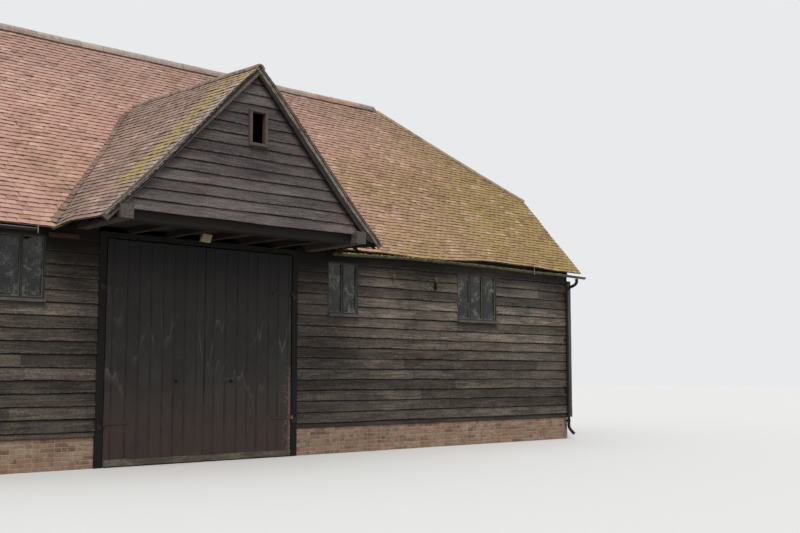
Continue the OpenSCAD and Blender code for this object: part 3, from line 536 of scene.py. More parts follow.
def board_piece(heap, place, x0, x1, foot, head, board, reach, wave_seed, dice, tint):
    """A length of one feather-edged board. board is its whole foot and head, before cutting."""
    whole_foot, whole_head = board
    count = max(2, int((x1 - x0) / BOARD_STEP) + 2)
    u = np.linspace(x0, x1, count)
    waney = 0.010 * ripple(u, whole_foot, 1.7, wave_seed)
    waney += 0.004 * ripple(u, whole_foot, 0.33, wave_seed + 1)
    cup = 0.003 * ripple(u, whole_foot, 2.3, wave_seed + 2)
    tilt = dice.normal(0, 0.0012)
    outer, inner, rises = [], [], []
    for share in BOARD_ROWS:
        z = foot + share * (head - foot)
        rise = (z - whole_foot) / (whole_head - whole_foot)
        level = z + (waney * (1 - share) if foot == whole_foot else 0 * waney)
        along = u if reach is None else np.clip(u, *reach(level))
        depth = -BOARD_TAPER * rise - 0.004 + cup * (1 - rise) + tilt
        depth = np.minimum(depth - (BOARD_EASE if share == 0 else 0), 0)
        outer.append(place(along, depth, level))
        inner.append(place(along, depth - BOARD_T * (1 - 0.5 * rise), level))
        rises.append(rise)
    heap.shell(outer + inner, tint, np.repeat(rises + rises, count))


def lay_boards(heap, place, x0, x1, z0, z1, openings, seed, gauge=BOARD_GAUGE, reach=None,
               lengths=(2.4, 4.6), top=None):
    """Lapped boards between two heights, in random lengths, cut round the openings. The last
    one may reach up to top."""
    dice = np.random.default_rng(seed)
    courses = max(1, round((z1 - z0) / gauge))
    gauge = (z1 - z0) / courses
    for course in range(courses):
        foot = z0 + course * gauge
        head = min(foot + gauge + BOARD_LAP, top or z1)
        first, last = (x0, x1) if reach is None else map(float, reach(np.array(foot)))
        ends = [first]
        while ends[-1] < last - lengths[0] * 0.4:
            ends.append(ends[-1] + dice.uniform(*lengths))
        ends = ends[:max(1, len(ends) - 1)] + [last]
        for a, b in zip(ends[:-1], ends[1:]):
            tint, wave_seed = dice.random(), int(dice.integers(1e6))
            gap = dice.uniform(0.001, 0.004)
            start = a + (0 if a == first else gap)
            end = b - (0 if b == last else gap)
            for part in cut_round(openings, start, end, foot, head):
                board_piece(heap, place, *part, (foot, foot + gauge + BOARD_LAP), reach,
                            wave_seed, dice, tint)


def lay_lining(heap, place, x0, x1, z0, z1, openings, seed, reach=None):
    """Flat boards side by side: the inside of a wall, down to the weatherboards' back."""
    dice = np.random.default_rng(seed)
    courses = max(1, round((z1 - z0) / LINING_WIDTH))
    width = (z1 - z0) / courses
    for course in range(courses):
        foot, head = z0 + course * width, z0 + (course + 1) * width
        a = x0
        while a < x1 - 0.01:
            b = min(a + dice.uniform(*PLAIN_LENGTHS), x1)
            b = x1 if x1 - b < LINING_SCRAP else b
            tint = dice.random()
            for left, right, low, high in cut_round(openings, a, b, foot, head):
                rows = []
                for depth in (-FACE_DEPTH, -WALL_T):
                    for level in (low, high):
                        edges = np.array([left, right])
                        if reach is not None:
                            edges = np.clip(edges, *reach(np.array(level)))
                        rows.append(place(edges, depth, level))
                heap.shell(rows, tint)
            a = b


def facing_y(face, out):
    """Places on a wall across y: u along it, d out of its face, and the height."""
    return lambda u, d, z: np.stack(np.broadcast_arrays(u, face + out * d, z), -1)


def facing_x(face, out):
    return lambda u, d, z: np.stack(np.broadcast_arrays(face + out * d, u, z), -1)


# Colours and materials


def rgb(red, green, blue):
    """A display colour, 0 to 255, as a scene colour."""
    shares = (np.array([red, green, blue]) / 255.0).tolist()
    return tuple(s / 12.92 if s <= 0.04045 else ((s + 0.055) / 1.055) ** 2.4 for s in shares) + (1,)


class Value:
    """An output of a node. Sums and products of values add nodes of their own."""

    def __init__(self, made, socket):
        self.made, self.socket = made, socket

    def __add__(self, other):
        return self.made.maths("ADD", self, other)

    def __sub__(self, other):
        return self.made.maths("SUBTRACT", self, other)

    def __rsub__(self, other):
        return self.made.maths("SUBTRACT", other, self)

    def __mul__(self, other):
        return self.made.maths("MULTIPLY", self, other)

    def __abs__(self):
        return self.made.maths("ABSOLUTE", self, 0)

    def span(self, low, high, start=0.0, end=1.0):
        """The value from low to high as start to end, and kept within them."""
        links = {"Value": self, "From Min": low, "From Max": high, "To Min": start, "To Max": end}
        return self.made.node("MapRange", "Result", links)


class Nodes:
    """A node tree in the making. Colours are (red, green, blue) of 0 to 255, or values."""

    def __init__(self, tree):
        self.tree = tree

    def feed(self, socket, value):
        if isinstance(value, Value):
            self.tree.links.new(value.socket, socket)
        else:
            socket.default_value = value

    def node(self, kind, output, links=None, **settings):
        made = self.tree.nodes.new("ShaderNode" + kind)
        for key, value in settings.items():
            setattr(made, key, value)
        for socket, value in (links or {}).items():
            self.feed(made.inputs[socket], value)
        return Value(self, made.outputs[output])

    def maths(self, operation, a, b):
        return self.node("Math", "Value", {0: a, 1: b}, operation=operation)

    def mix(self, share, a, b, blend="MIX"):
        a, b = (rgb(*colour) if isinstance(colour, tuple) else colour for colour in (a, b))
        return self.node("Mix", 2, {0: share, 6: a, 7: b}, data_type="RGBA", blend_type=blend)

    def ramp(self, value, *stops):
        """A colour for each value. The stops are (position, red, green, blue)."""
        made = self.node("ValToRGB", "Color", {"Fac": value})
        elements = made.socket.node.color_ramp.elements
        while len(elements) < len(stops):
            elements.new(0.5)
        for element, (position, *colour) in zip(elements, stops):
            element.position = position
        for element, (position, *colour) in zip(elements, stops):
            element.color = rgb(*colour)
        return made


finishes = {}


class Finish(Nodes):
    """A material in the making, with its colour so far."""

    def __init__(self, name, roughness=0.8, specular=0.3, metallic=0.0):
        self.name = name
        self.material = bpy.data.materials.new(name)
        self.material.use_nodes = True
        super().__init__(self.material.node_tree)
        self.set("Roughness", roughness)
        self.set("Metallic", metallic)
        self.set("Specular IOR Level", specular)
        self.place = self.node("TexCoord", "Object")
        self.colour = None

    def set(self, socket, value):
        self.feed(self.tree.nodes["Principled BSDF"].inputs[socket], value)

    def stretched(self, x, y, z):
        return self.node("Mapping", "Vector", {"Vector": self.place, "Scale": (x, y, z)})

    def noise(self, scale, detail=4.0, rough=0.55, where=None, twist=0.0):
        links = {"Vector": where or self.place, "Scale": scale, "Detail": detail,
                 "Roughness": rough, "Distortion": twist}
        return self.node("TexNoise", "Fac", links)

    def value(self, name):
        return self.node("Attribute", "Fac", attribute_name=name)

    def along(self, axis):
        """The place along an axis of the frame, in metres."""
        return self.node("SeparateXYZ", axis, {"Vector": self.place})

    def shaded(self, colour, amount):
        """A colour times a brightness, 1 leaving it as it is."""
        grey = self.node("CombineColor", "Color", {"Red": amount, "Green": amount, "Blue": amount})
        return self.mix(1.0, colour, grey, "MULTIPLY")

    def shade(self, amount):
        self.colour = self.shaded(self.colour, amount)

    def lay(self, share, colour):
        """Lays a share of a colour over the one so far."""
        self.colour = self.mix(share, self.colour, colour)

    def done(self, roughness=None, height=None, relief=0.004, strength=1.0):
        self.set("Base Color", self.colour)
        if roughness is not None:
            self.set("Roughness", roughness)
        if height is not None:
            links = {"Height": height, "Distance": relief, "Strength": strength}
            self.set("Normal", self.node("Bump", "Normal", links))
        finishes[self.name] = self.material


SALMON = ((0.0, 168, 127, 112), (0.35, 190, 147, 131), (0.65, 204, 161, 144), (1.0, 216, 176, 158))
UMBER = ((0.0, 137, 111, 68), (0.35, 162, 134, 83), (0.65, 179, 151, 95), (1.0, 196, 169, 112))
PLUM = ((0.0, 136, 112, 103), (0.35, 160, 134, 122), (0.65, 178, 151, 137), (1.0, 196, 169, 152))
GREY_PINK = ((0.0, 140, 119, 110), (0.3, 160, 138, 128), (0.6, 174, 151, 141),
             (0.88, 188, 163, 151), (1.0, 196, 144, 118))
VALLEY_BROWN = ((0.0, 112, 88, 77), (0.5, 138, 110, 97), (1.0, 164, 134, 118))
HIP_UMBER = ((0.0, 118, 95, 66), (0.5, 148, 121, 84), (1.0, 172, 145, 104))
SOOTY = ((0.0, 86, 73, 64), (0.5, 112, 95, 82), (1.0, 138, 118, 102))
MOSS = ((108, 94, 56), (206, 182, 104))
CANOPY_MOSS = ((140, 121, 78), (202, 185, 120))
LICHEN = (204, 195, 180)
RIDGE_GREY = (142, 122, 114)


def front_zone(made, drift):
    """Salmon on the left, browner low down towards the right end, where painted shade also darkens
    it, and greyer under the ridge.
    """
    x, z = made.along("X"), made.along("Z")
    brown = x.span(1.0, 4.0, 0.0, 0.40) + x.span(4.0, 9.0, 0.0, 0.70) - z.span(5.0, 7.8, 0.0, 0.45)
    brown = (brown + made.noise(0.7, 4.0).span(0.35, 0.65, -0.2, 0.2)).span(0.0, 1.0)
    made.lay(brown, made.ramp(drift, *UMBER))
    # Darker towards the right end: painted shade.
    made.shade(x.span(1.0, 6.0, 1.0, 0.90))
    made.lay(z.span(6.0, 7.8, 0.0, 0.40), RIDGE_GREY)


def back_zone(made, drift):
    """Salmon and brown tiles in broad patches."""
    made.lay(made.noise(0.35, 3.0).span(0.38, 0.62, 0.15, 0.9), made.ramp(drift, *UMBER))
    made.lay(made.along("Z").span(6.0, 7.8, 0.0, 0.40), RIDGE_GREY)


def canopy_zone(made, drift):
    """Pale, lichened verge tiles, and darker ones high up beside the valley."""
    y, z = made.along("Y"), made.along("Z")
    patches = made.noise(15.0, 6.0, 0.75).span(0.45, 0.56, 0.0, 0.9)
    made.shade((y + z * -0.6).span(-6.6, -4.6, 1.0, 0.86))
    made.shade(z.span(3.8, 4.9, 0.76, 1.0))
    made.lay(y.span(CANOPY_Y + 0.14, CANOPY_Y + 0.42, 1.0, 0.0) * patches, LICHEN)


def ridge_zone(made, drift):
    """Redder ridge tiles towards the right, and sooty ones at that end."""
    x = made.along("X")
    made.lay(x.span(4.9, 5.3, 0.0, 0.75) * x.span(6.6, 6.3), (190, 122, 100))
    made.lay(x.span(6.4, 6.8, 0.0, 0.6), (98, 86, 82))


def verge_zone(made, drift):
    """Tile ends in the canopy's verges: pale on the left, and mossy on the right."""
    right = made.along("X").span(-0.02, 0.02)
    mossy = made.noise(17.0, 5.0, 0.7).span(0.46, 0.58, 0.95, 0.45)
    greens = made.mix(made.noise(30.0, 4.0).span(0.4, 0.6), (42, 41, 28), (108, 103, 66))
    made.lay(mossy * right, greens)
    pale = made.noise(11.0, 5.0, 0.7).span(0.40, 0.60, 0.25, 0.8)
    made.lay(pale * (1.0 - right), (190, 184, 170))


def tile_finish(name, stops, zone=None, moss_amount=0.0, lichen=0.3, dark=0.4, gold=0.75,
                moss_tones=MOSS, moss_soft=0.16, lap_dirt_and_shade=(0.78, (98, 70, 60))):
    """Old clay tiles: a shade for each tile, soot and lichen in patches, and moss where damp. Each
    course has dirt and painted shade under the next one's lower edge, and pale lichen with a painted
    highlight along its own.
    """
    made = Finish(name, roughness=0.9, specular=0.2)
    tint, fade, damp = made.value("tint"), made.value("fade"), made.value("damp")
    drift = tint.span(0.0, 1.0, 0.15, 0.55) + made.noise(0.45, 3.0, 0.6).span(0.3, 0.7, 0.0, 0.35)
    made.colour = made.ramp(drift, *stops)
    if zone is not None:
        zone(made, drift)
    patch = made.noise(1.3, 4.0, 0.6)
    made.lay(patch.span(0.55, 0.68, 0.0, 0.35), (204, 156, 142))
    made.lay(patch.span(0.45, 0.34, 0.0, 0.32), (150, 124, 94))
    made.lay(tint.span(0.94, 0.945, 0.0, 0.28), (222, 196, 178))
    made.lay(tint.span(0.990, 0.992, 0.0, 0.35), (196, 124, 90))
    made.lay(tint.span(0.050, 0.045, 0.0, 0.30), (118, 84, 72))
    fine = made.noise(60.0, 5.0, 0.65)
    made.shade(fine.span(0.3, 0.7, 0.84, 1.12))
    made.lay(made.noise(2.2, 6.0, 0.7).span(0.48, 0.76, 0.0, dark), (104, 84, 74))
    made.lay(made.noise(26.0, 6.0, 0.7).span(0.56, 0.68, 0.0, lichen), LICHEN)
    # Pale along each tile's lower edge: lichen in spots, and a painted highlight.
    made.lay(fade.span(0.10, 0.0) * made.noise(12.0, 5.0).span(0.35, 0.6) * 0.4, LICHEN)
    made.lay(made.noise(7.0, 6.0, 0.75).span(gold - 0.03, gold, 0.0, 0.8), (222, 146, 58))
    # Dirt and painted shade in a band just under the next course's lower edge.
    made.lay(fade.span(0.46, 0.60, 0.0, lap_dirt_and_shade[0]), lap_dirt_and_shade[1])
    moss_level = made.noise(5.5, 7.0, 0.7) * 0.5 + made.noise(19.0, 6.0, 0.8) * 0.5 + damp * 0.28
    moss = moss_level.span(0.70 - moss_amount, 0.70 + moss_soft - moss_amount, 0.0, 0.88)
    moss_colour = made.mix(made.noise(18.0, 5.0, 0.7).span(0.36, 0.62), *moss_tones)
    # The moss is darkened towards the next course's lower edge: painted shade.
    made.lay(moss, made.shaded(moss_colour, fade.span(0.40, 0.60, 1.0, 0.72)))
    made.done(height=fine * 0.6 + moss * 1.2, strength=0.7)


FINE_GRAIN, SLOW_GRAIN = 52.0, 2.2
GRAINS = {"across": (SLOW_GRAIN, SLOW_GRAIN, FINE_GRAIN),
          "upright": (FINE_GRAIN, FINE_GRAIN, SLOW_GRAIN),
          "x": (SLOW_GRAIN, FINE_GRAIN, FINE_GRAIN), "y": (FINE_GRAIN, SLOW_GRAIN, FINE_GRAIN)}


def wood_finish(name, tones, grain_axis, wear=0.5, dust=0.4, rust=0.0, lapped=False, outside=None,
                under_eaves=False):
    """Weathered timber in three tones: grain along an axis, a shade for each board, worn and
    dusty patches. outside gives the two tones of what stands out of doors."""
    made = Finish(name, roughness=0.75, specular=0.25)
    dark, mid, pale = tones
    where = made.stretched(*GRAINS[grain_axis])
    grain = made.noise(1.0, 7.0, 0.7, where, 0.5)
    broad = made.noise(0.16, 4.0, 0.6, where, 0.4)
    speckle = made.noise(34.0, 5.0, 0.7)
    tint = made.value("tint")
    made.colour = made.mix(grain.span(0.3, 0.7), dark, mid)
    patchy = made.stretched(0.9, 0.9, 6.5) if lapped else made.stretched(1.3, 1.3, 1.3)
    worn = grain * 0.35 + speckle * 0.30 + made.noise(1.0, 6.0, 0.65, patchy) * 0.50
    worn = worn.span(0.56, 0.74, 0.0, wear)
    made.lay(worn, pale)
    made.lay(made.noise(0.9, 6.0, 0.7).span(0.46, 0.72, 0.0, dust), made.mix(broad, mid, pale))
    made.shade(tint.span(0.0, 1.0, 0.74, 1.26))
    made.shade(speckle.span(0.3, 0.7, 0.82, 1.18))
    if rust:
        made.lay(made.noise(2.2, 6.0, 0.7).span(0.52, 0.70, 0.0, rust), (112, 68, 50))
    if lapped:
        made.shade(tint.span(0.0, 1.0, 0.78, 1.20))
        age_and_shade_lapped(made, pale)
    if under_eaves:
        shade_under_eaves(made)
    if outside is not None:
        front = made.along("Y").span(FRONT_Y + 0.03, FRONT_Y)
        ends = abs(made.along("X")).span(WALL_X - 0.02, WALL_X)
        made.lay(made.maths("MAXIMUM", front, ends), made.mix(grain.span(0.35, 0.7), *outside))
    made.done(worn.span(0.0, 1.0, 0.75, 0.92), grain * 0.8 + broad * 0.4, 0.004, 0.8)


def age_and_shade_lapped(made, pale):
    """Lapped boards: chipped towards their feet and pale there, with wear and a painted highlight;
    darker up each board with painted shade, and a painted shadow under the next one's foot.
    """
    rise = made.value("fade") + made.noise(2.4, 5.0).span(0.3, 0.7, -0.02, 0.02)
    # Painted shade: lighter at each board's foot, darker up towards the next one's foot.
    made.shade(rise.span(0.0, 0.78, 1.12, 0.90))
    chips = made.noise(27.0, 6.0, 0.75).span(0.63, 0.68, 0.0, 0.75)
    made.lay(chips * rise.span(0.60, 0.15), (186, 176, 172))
    # Pale at the foot edge: wear, and a painted highlight where the edge catches the light.
    made.lay(rise.span(0.12, 0.02) * made.noise(9.0, 6.0, 0.75).span(0.46, 0.62) * 0.6, pale)
    # A near-black band under the next board's foot: a painted shadow.
    made.lay(rise.span(0.74, 0.82, 0.0, 0.94), (11, 10, 9))


def shade_under_eaves(made):
    """Darker at the foot of the wall, under its eaves, and beside the doors."""
    z = made.along("Z")
    beside = abs(made.along("X")).span(3.8, 2.6) * z.span(2.8, 3.4, 0.22, 0.8)
    made.shade(z.span(1.1, 2.1, 0.58, 1.0))
    made.shade(z.span(3.1, 3.5, 1.0, 0.40))
    made.shade(1.0 - beside)


def stain_line(made, level, often, width, strength):
    """Contours of a level: each sharp on one side, soft on the other, and broken by noise."""
    ring = made.maths("FRACT", level * often, 0)
    line = ring.span(width, 0.97, 0.0, strength) * ring.span(1.0, 0.985)
    return line * made.noise(1.6, 4.0).span(0.42, 0.60)


def door_finish():
    """Tarred door boards: near black at the top with painted shade under the canopy, stained in
    flames halfway, and dusty feet.
    """
    made = Finish("door_board", roughness=0.6)
    x, z = made.along("X"), made.along("Z")
    seam = made.value("fade")
    grain = made.noise(1.0, 6.0, 0.65, made.stretched(46.0, 46.0, 1.1), 0.6)
    made.colour = made.mix(grain.span(0.3, 0.7), (38, 35, 34), (60, 54, 51))
    made.shade(made.value("tint").span(0.0, 1.0, 0.78, 1.22))
    middle = z.span(0.7, 1.1) * z.span(2.3, 1.8)
    made.lay(middle * made.noise(1.1, 4.0).span(0.46, 0.62, 0.0, 0.55), (66, 68, 60))
    marks = made.noise(1.0, 2.5, 0.5, made.stretched(4.6, 1.0, 0.9), 0.3) + z * 0.10
    made.lay(stain_line(made, marks, 5.0, 0.80, 0.35), (84, 82, 84))
    flames = made.noise(1.0, 2.0, 0.5, made.stretched(3.6, 1.0, 0.22)) * 2.6 + z * 0.8
    line = stain_line(made, flames, 1.25, 0.84, 0.75) * z.span(2.6, 2.2)
    made.lay(line * z.span(0.9, 1.5, 0.25, 1.0), (112, 107, 104))
    brown = z.span(1.5, 0.5) * made.noise(1.5, 5.0).span(0.3, 0.6, 0.4, 0.9)
    made.lay(brown, made.mix(grain, (52, 42, 38), (88, 69, 61)))
    # Dark beside each seam: painted shade between the planks.
    made.lay(seam.span(0.80, 1.0) * seam.span(1.2, 1.1) * 0.75, (17, 16, 15))
    # Pale in spots on each plank's left edge: wear, and a painted highlight where it faces the
    # light.
    made.lay(seam.span(1.2, 1.8, 0.0, 0.7) * made.noise(2.0, 4.0).span(0.4, 0.6), (112, 106, 102))
    # Near black at the top: painted shade under the canopy.
    made.lay(z.span(2.7, 3.25, 0.0, 0.85), (19, 18, 18))
    stile = x.span(1.705, 1.715, 0.0, 0.65) * z.span(1.6, 1.2)
    made.lay(stile, made.mix(grain, (92, 74, 66), (138, 112, 100)))
    specks = made.noise(24.0, 6.0, 0.75).span(0.53, 0.60) * x.span(1.58, 1.72)
    made.lay(specks * z.span(1.9, 1.2), (150, 116, 104))
    made.lay(made.noise(38.0, 6.0, 0.75).span(0.67, 0.71, 0.0, 0.55), (124, 112, 104))
    made.done(grain.span(0.3, 0.7, 0.5, 0.75), grain, 0.004, 0.8)


def brick_finish():
    made = Finish("brick", roughness=0.92, specular=0.2)
    made.colour = made.ramp(made.value("tint"), (0.0, 132, 101, 84), (0.25, 158, 121, 100),
                            (0.5, 172, 133, 110), (0.75, 174, 138, 114), (0.95, 182, 150, 126),
                            (1.0, 142, 122, 106))
    fine = made.noise(70.0, 5.0, 0.65)
    made.shade(fine.span(0.3, 0.7, 0.80, 1.14))
    smear = made.noise(11.0, 7.0, 0.75).span(0.47, 0.64, 0.0, 0.75)
    made.lay(smear, (192, 176, 154))
    made.lay(made.noise(2.2, 6.0, 0.7).span(0.48, 0.70, 0.0, 0.5), (98, 86, 72))
    made.lay(made.noise(3.0, 5.0, 0.7).span(0.56, 0.72, 0.0, 0.4), (104, 98, 68))
    made.done(height=fine + smear, relief=0.003)


def mortar_finish():
    made = Finish("mortar", roughness=0.95, specular=0.15)
    fine = made.noise(120.0, 4.0, 0.7)
    made.colour = made.ramp(made.noise(4.0, 6.0, 0.7), (0.3, 156, 142, 122), (0.6, 190, 176, 154),
                            (0.8, 134, 120, 96))
    made.shade(fine.span(0.3, 0.7, 0.82, 1.1))
    made.done(height=fine, relief=0.003)


def paint_finish(name, paint, under, roughness=0.6, flaking=0.5):
    """Old paint with bare wood where it has flaked, and dirt in its hollows."""
    made = Finish(name, roughness=roughness, specular=0.4)
    bare = made.noise(14.0, 7.0, 0.72).span(0.56, 0.64, 0.0, flaking)
    dirt = made.noise(3.0, 6.0, 0.7).span(0.42, 0.72, 0.0, 0.55)
    made.colour = made.mix(dirt, paint, (58, 54, 44))
    made.lay(bare, under)
    made.done(bare.span(0, 1, roughness, 0.9), bare, 0.002, -0.6)


def iron_finish():
    made = Finish("black_iron", roughness=0.55, specular=0.5, metallic=0.6)
    rust = made.noise(11.0, 7.0, 0.72).span(0.52, 0.72, 0.0, 0.4)
    rusty = made.mix(made.noise(40.0), (88, 48, 30), (142, 82, 48))
    made.colour = made.mix(rust, (36, 35, 35), rusty)
    made.done(rust.span(0, 1, 0.55, 0.9), made.noise(30.0, 5.0), 0.001, 0.5)


def gutter_finish():
    """Black half-round gutters: a pale rim on the left, which is a painted highlight, and moss all
    over on the right.
    """
    made = Finish("gutter_metal", roughness=0.6, specular=0.4)
    patches = made.noise(8.0, 6.0, 0.7)
    # The pale rim is a painted highlight along the left gutter's lit edge.
    rim = made.mix(patches, (116, 108, 104), (172, 164, 158))
    left = made.mix(made.value("fade").span(0.25, 0.75), (30, 27, 25), rim)
    mossy = made.mix(patches.span(0.38, 0.62), (58, 54, 38), (122, 117, 84))
    made.colour = made.mix(made.along("X").span(0.0, 0.1), left, mossy)
    made.done(height=patches, relief=0.002, strength=0.5)


def peg_finish():
    """Wall pegs: bare wood at the top, and darker below."""
    made = Finish("peg_wood", specular=0.25)
    low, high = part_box("wall_pegs")
    grain = made.noise(30.0, 5.0, 0.7)
    bare = made.along("Z").span((low.z + high.z) / 2, high.z - 0.02)
    made.colour = made.mix(bare, (44, 38, 34), made.mix(grain, (120, 92, 74), (190, 158, 134)))
    made.done(height=grain, relief=0.002)


def glass_finish():
    """Thin old panes, uneven, nearly black from outside, and pale in spots with dust and a painted
    reflection.
    """
    made = Finish("old_glass", roughness=0.03, specular=0.22)
    made.set("IOR", 1.45)
    # Pale spots: dust, and a painted reflection.
    dust = (made.noise(3.0, 4.0, 0.6) * made.noise(15.0, 6.0, 0.8)).span(0.24, 0.34, 0.0, 0.5)
    made.set("Transmission Weight", 1.0 - dust)
    made.colour = made.mix(dust.span(0.0, 0.3), (88, 91, 88), (156, 158, 146))
    made.done(dust.span(0, 1, 0.02, 0.3), made.noise(2.6, 2.0, 0.4), 0.03, 0.5)


def lamp_finish():
    made = Finish("lamp_plastic", roughness=0.4, specular=0.5)
    dirt = made.noise(16.0, 6.0, 0.7).span(0.45, 0.75, 0.0, 0.4)
    made.colour = made.mix(dirt, (226, 214, 168), (140, 126, 92))
    made.done(height=made.noise(50.0), relief=0.0005)


def moss_finish():
    made = Finish("moss", roughness=1.0, specular=0.1)
    made.colour = made.ramp(made.value("tint"), (0.0, 78, 76, 38), (0.4, 116, 110, 56),
                            (0.75, 150, 140, 76), (1.0, 176, 168, 112))
    fine = made.noise(160.0, 4.0, 0.7)
    made.shade(fine.span(0.3, 0.7, 0.6, 1.25))
    made.done(height=fine, relief=0.006)


OAK = ((72, 58, 44), (122, 100, 76), (160, 138, 110))
TAR = ((17, 16, 15), (32, 29, 27), (64, 56, 50))
OUTDOOR_OAK = ((66, 60, 58), (130, 120, 114))
# Near black: painted shade, so the rafter feet under the eaves merge with their shadow.
OUTDOOR_RAFTER_SHADE = ((14, 13, 12), (36, 32, 29))
OUTDOOR_LINING = ((26, 22, 19), (62, 52, 44))


def make_finishes():
    tile_finish("tile_red", SALMON, front_zone)
    tile_finish("tile_umber", SALMON, back_zone, moss_amount=0.03)
    tile_finish("tile_brown", PLUM, canopy_zone, moss_amount=0.02, dark=0.5,
                moss_tones=CANOPY_MOSS, moss_soft=0.24, lap_dirt_and_shade=(0.92, (78, 58, 50)))
    tile_finish("valley_tile", VALLEY_BROWN, moss_amount=0.03)
    tile_finish("verge_tile", GREY_PINK, verge_zone, moss_amount=0.03, lichen=0.7)
    tile_finish("verge_mortar", SOOTY, verge_zone, moss_amount=0.06, dark=0.8)
    tile_finish("ridge_tile", GREY_PINK, ridge_zone, lichen=0.4, dark=0.3, gold=0.68)
    tile_finish("hip_tile", HIP_UMBER, moss_amount=0.03)
    tile_finish("canopy_ridge", SOOTY, moss_amount=0.04, dark=0.6, gold=0.66,
                moss_tones=CANOPY_MOSS)
    wood_finish("weatherboard", ((52, 47, 43), (106, 96, 87), (176, 162, 146)), "across", 0.7, 0.5,
                rust=0.20, lapped=True, under_eaves=True)
    wood_finish("gable_board", ((56, 51, 52), (100, 91, 90), (156, 144, 138)), "across", 0.5, 0.35,
                rust=0.30, lapped=True)
    wood_finish("kick_board", ((62, 56, 49), (108, 98, 86), (170, 158, 142)), "x", 0.6, 0.4)
    wood_finish("sill_wood", ((84, 78, 74), (124, 117, 112), (178, 172, 166)), "x", 0.6, 0.5)
    wood_finish("dark_oak", ((24, 22, 21), (44, 40, 38), (84, 74, 66)), "x", 0.3, 0.2, 0.15)
    wood_finish("dark_oak_upright", ((20, 18, 17), (38, 34, 32), (92, 80, 72)), "upright", 0.35,
                0.2, 0.15)
    wood_finish("barge_oak", ((78, 69, 67), (122, 109, 104), (164, 150, 140)), "x", 0.4, 0.35, 0.12)
    # The right bargeboard's oak, darker: painted shade.
    wood_finish("barge_oak_shaded", ((33, 31, 30), (56, 51, 49), (94, 86, 80)), "x", 0.3, 0.25, 0.10)
    wood_finish("tar_oak", TAR, "x", 0.2, 0.1)
    wood_finish("tar_oak_upright", TAR, "upright", 0.2, 0.1)
    wood_finish("corner_oak", ((74, 66, 60), (118, 107, 97), (164, 151, 138)), "upright", 0.5, 0.4,
                under_eaves=True)
    wood_finish("soffit_oak", ((44, 38, 34), (70, 61, 54), (104, 92, 80)), "x", 0.4, 0.3)
    wood_finish("brown_oak", ((58, 45, 39), (88, 69, 59), (120, 101, 90)), "x", 0.3, 0.2)
    wood_finish("rafter_oak", OAK, "y", 0.5, 0.3, outside=OUTDOOR_RAFTER_SHADE)
    wood_finish("frame_oak", OAK, "x", 0.5, 0.3, outside=OUTDOOR_OAK)
    wood_finish("frame_oak_upright", OAK, "upright", 0.5, 0.3)
    wood_finish("beam_oak", OAK, "y", 0.5, 0.3, outside=OUTDOOR_OAK)
    wood_finish("lining", ((60, 50, 40), (104, 88, 68), (140, 122, 98)), "across",
                outside=OUTDOOR_LINING)
    paint_finish("window_paint", (46, 45, 42), (38, 35, 32))
    paint_finish("putty", (150, 146, 138), (96, 92, 84), 0.7, 0.4)
    paint_finish("vent_wood", (106, 90, 84), (74, 64, 60), 0.8, 0.5)
    for make in (door_finish, brick_finish, mortar_finish, iron_finish, gutter_finish, peg_finish,
                 glass_finish, lamp_finish, moss_finish):
        make()


UPRIGHT = {"frame_posts", "gable_posts", "wall_studs", "truss_struts", "door_posts"}
SPECIAL = {"wall_pegs": "peg_wood", "window_sills": "sill_wood", "window_glass": "old_glass",
           "left_door_hinges": "door_board", "right_door_hinges": "door_board",
           "door_head": "tar_oak", "door_posts": "tar_oak_upright", "common_rafters": "rafter_oak",
           "soffit_boards": "soffit_oak", "soffit_joists": "soffit_oak",
           "canopy_lamp": "lamp_plastic"}


def dress_cad():
    """Gives every CAD node the finish of its material slot."""
    for name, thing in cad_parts.items():
        for slot in thing.material_slots:
            kind = slot.material.name.split(".")[0]
            if name in UPRIGHT and kind + "_upright" in finishes:
                kind += "_upright"
            slot.material = finishes[SPECIAL.get(name, kind)]


# Roofs


def no_damp(points):
    return np.zeros(points.shape[:2])


def damp_low(points):
    """Damp near the eaves."""
    return unit(1 - (points[..., 2] - EAVE_Z) / 0.8) * 0.5


def damp_right(points):
    """Damp near the eaves, and towards the right end."""
    x, z = points[..., 0], points[..., 2]
    return unit(1 - (z - EAVE_Z) / 0.7) * 0.55 + unit((x - 4.0) / 5.0) * 0.30


def damp_canopy(points):
    """Damp in a broad band inside the verge, and a little in the valley and at the eaves."""
    y, z = points[..., 1], points[..., 2]
    inside = y - CANOPY_Y
    band = unit((inside - 0.20) / 0.15) * unit(1 - (inside - 0.70) / 0.40)
    band = band * unit((z - 3.75) / 0.55)
    apex = unit((z - 5.6) / 0.5) * unit(1 - (inside - 1.2) / 1.0)
    valley = unit(1 - (canopy_depth(z) - y) / 0.35) * 0.3
    low = unit(1 - (z - CANOPY_Z) / 0.6) * 0.3
    return np.maximum(np.maximum(band * 1.22, apex), np.maximum(valley, low))


def build_roofs():
    """Tiles on every slope, and one deck of boards under them all."""
    jobs = (("roof_front_left", "tile_red", damp_low),
            ("roof_front_mid_left", "tile_red", no_damp),
            ("roof_front_mid_right", "tile_red", no_damp),
            ("roof_front_right", "tile_red", damp_right),
            ("roof_back", "tile_umber", damp_low),
            ("half_hips", "tile_umber", no_damp),
            ("canopy_roof_left", "tile_brown", damp_canopy),
            ("canopy_roof_right", "tile_brown", damp_canopy))
    deck = Heap()
    for seed, (node, kind, damp_at) in enumerate(jobs):
        heap = Heap()
        for slope in slopes[node]:
            lay_tiles(heap, slope, 100 + seed, damp_at)
            lay_deck(deck, slope, 200 + seed)
        heap.piece(node + "_tiles", kind, "tile_brown" if kind == "tile_umber" else kind, [node])
    deck.piece("roof_deck", "lining", "frame_oak")


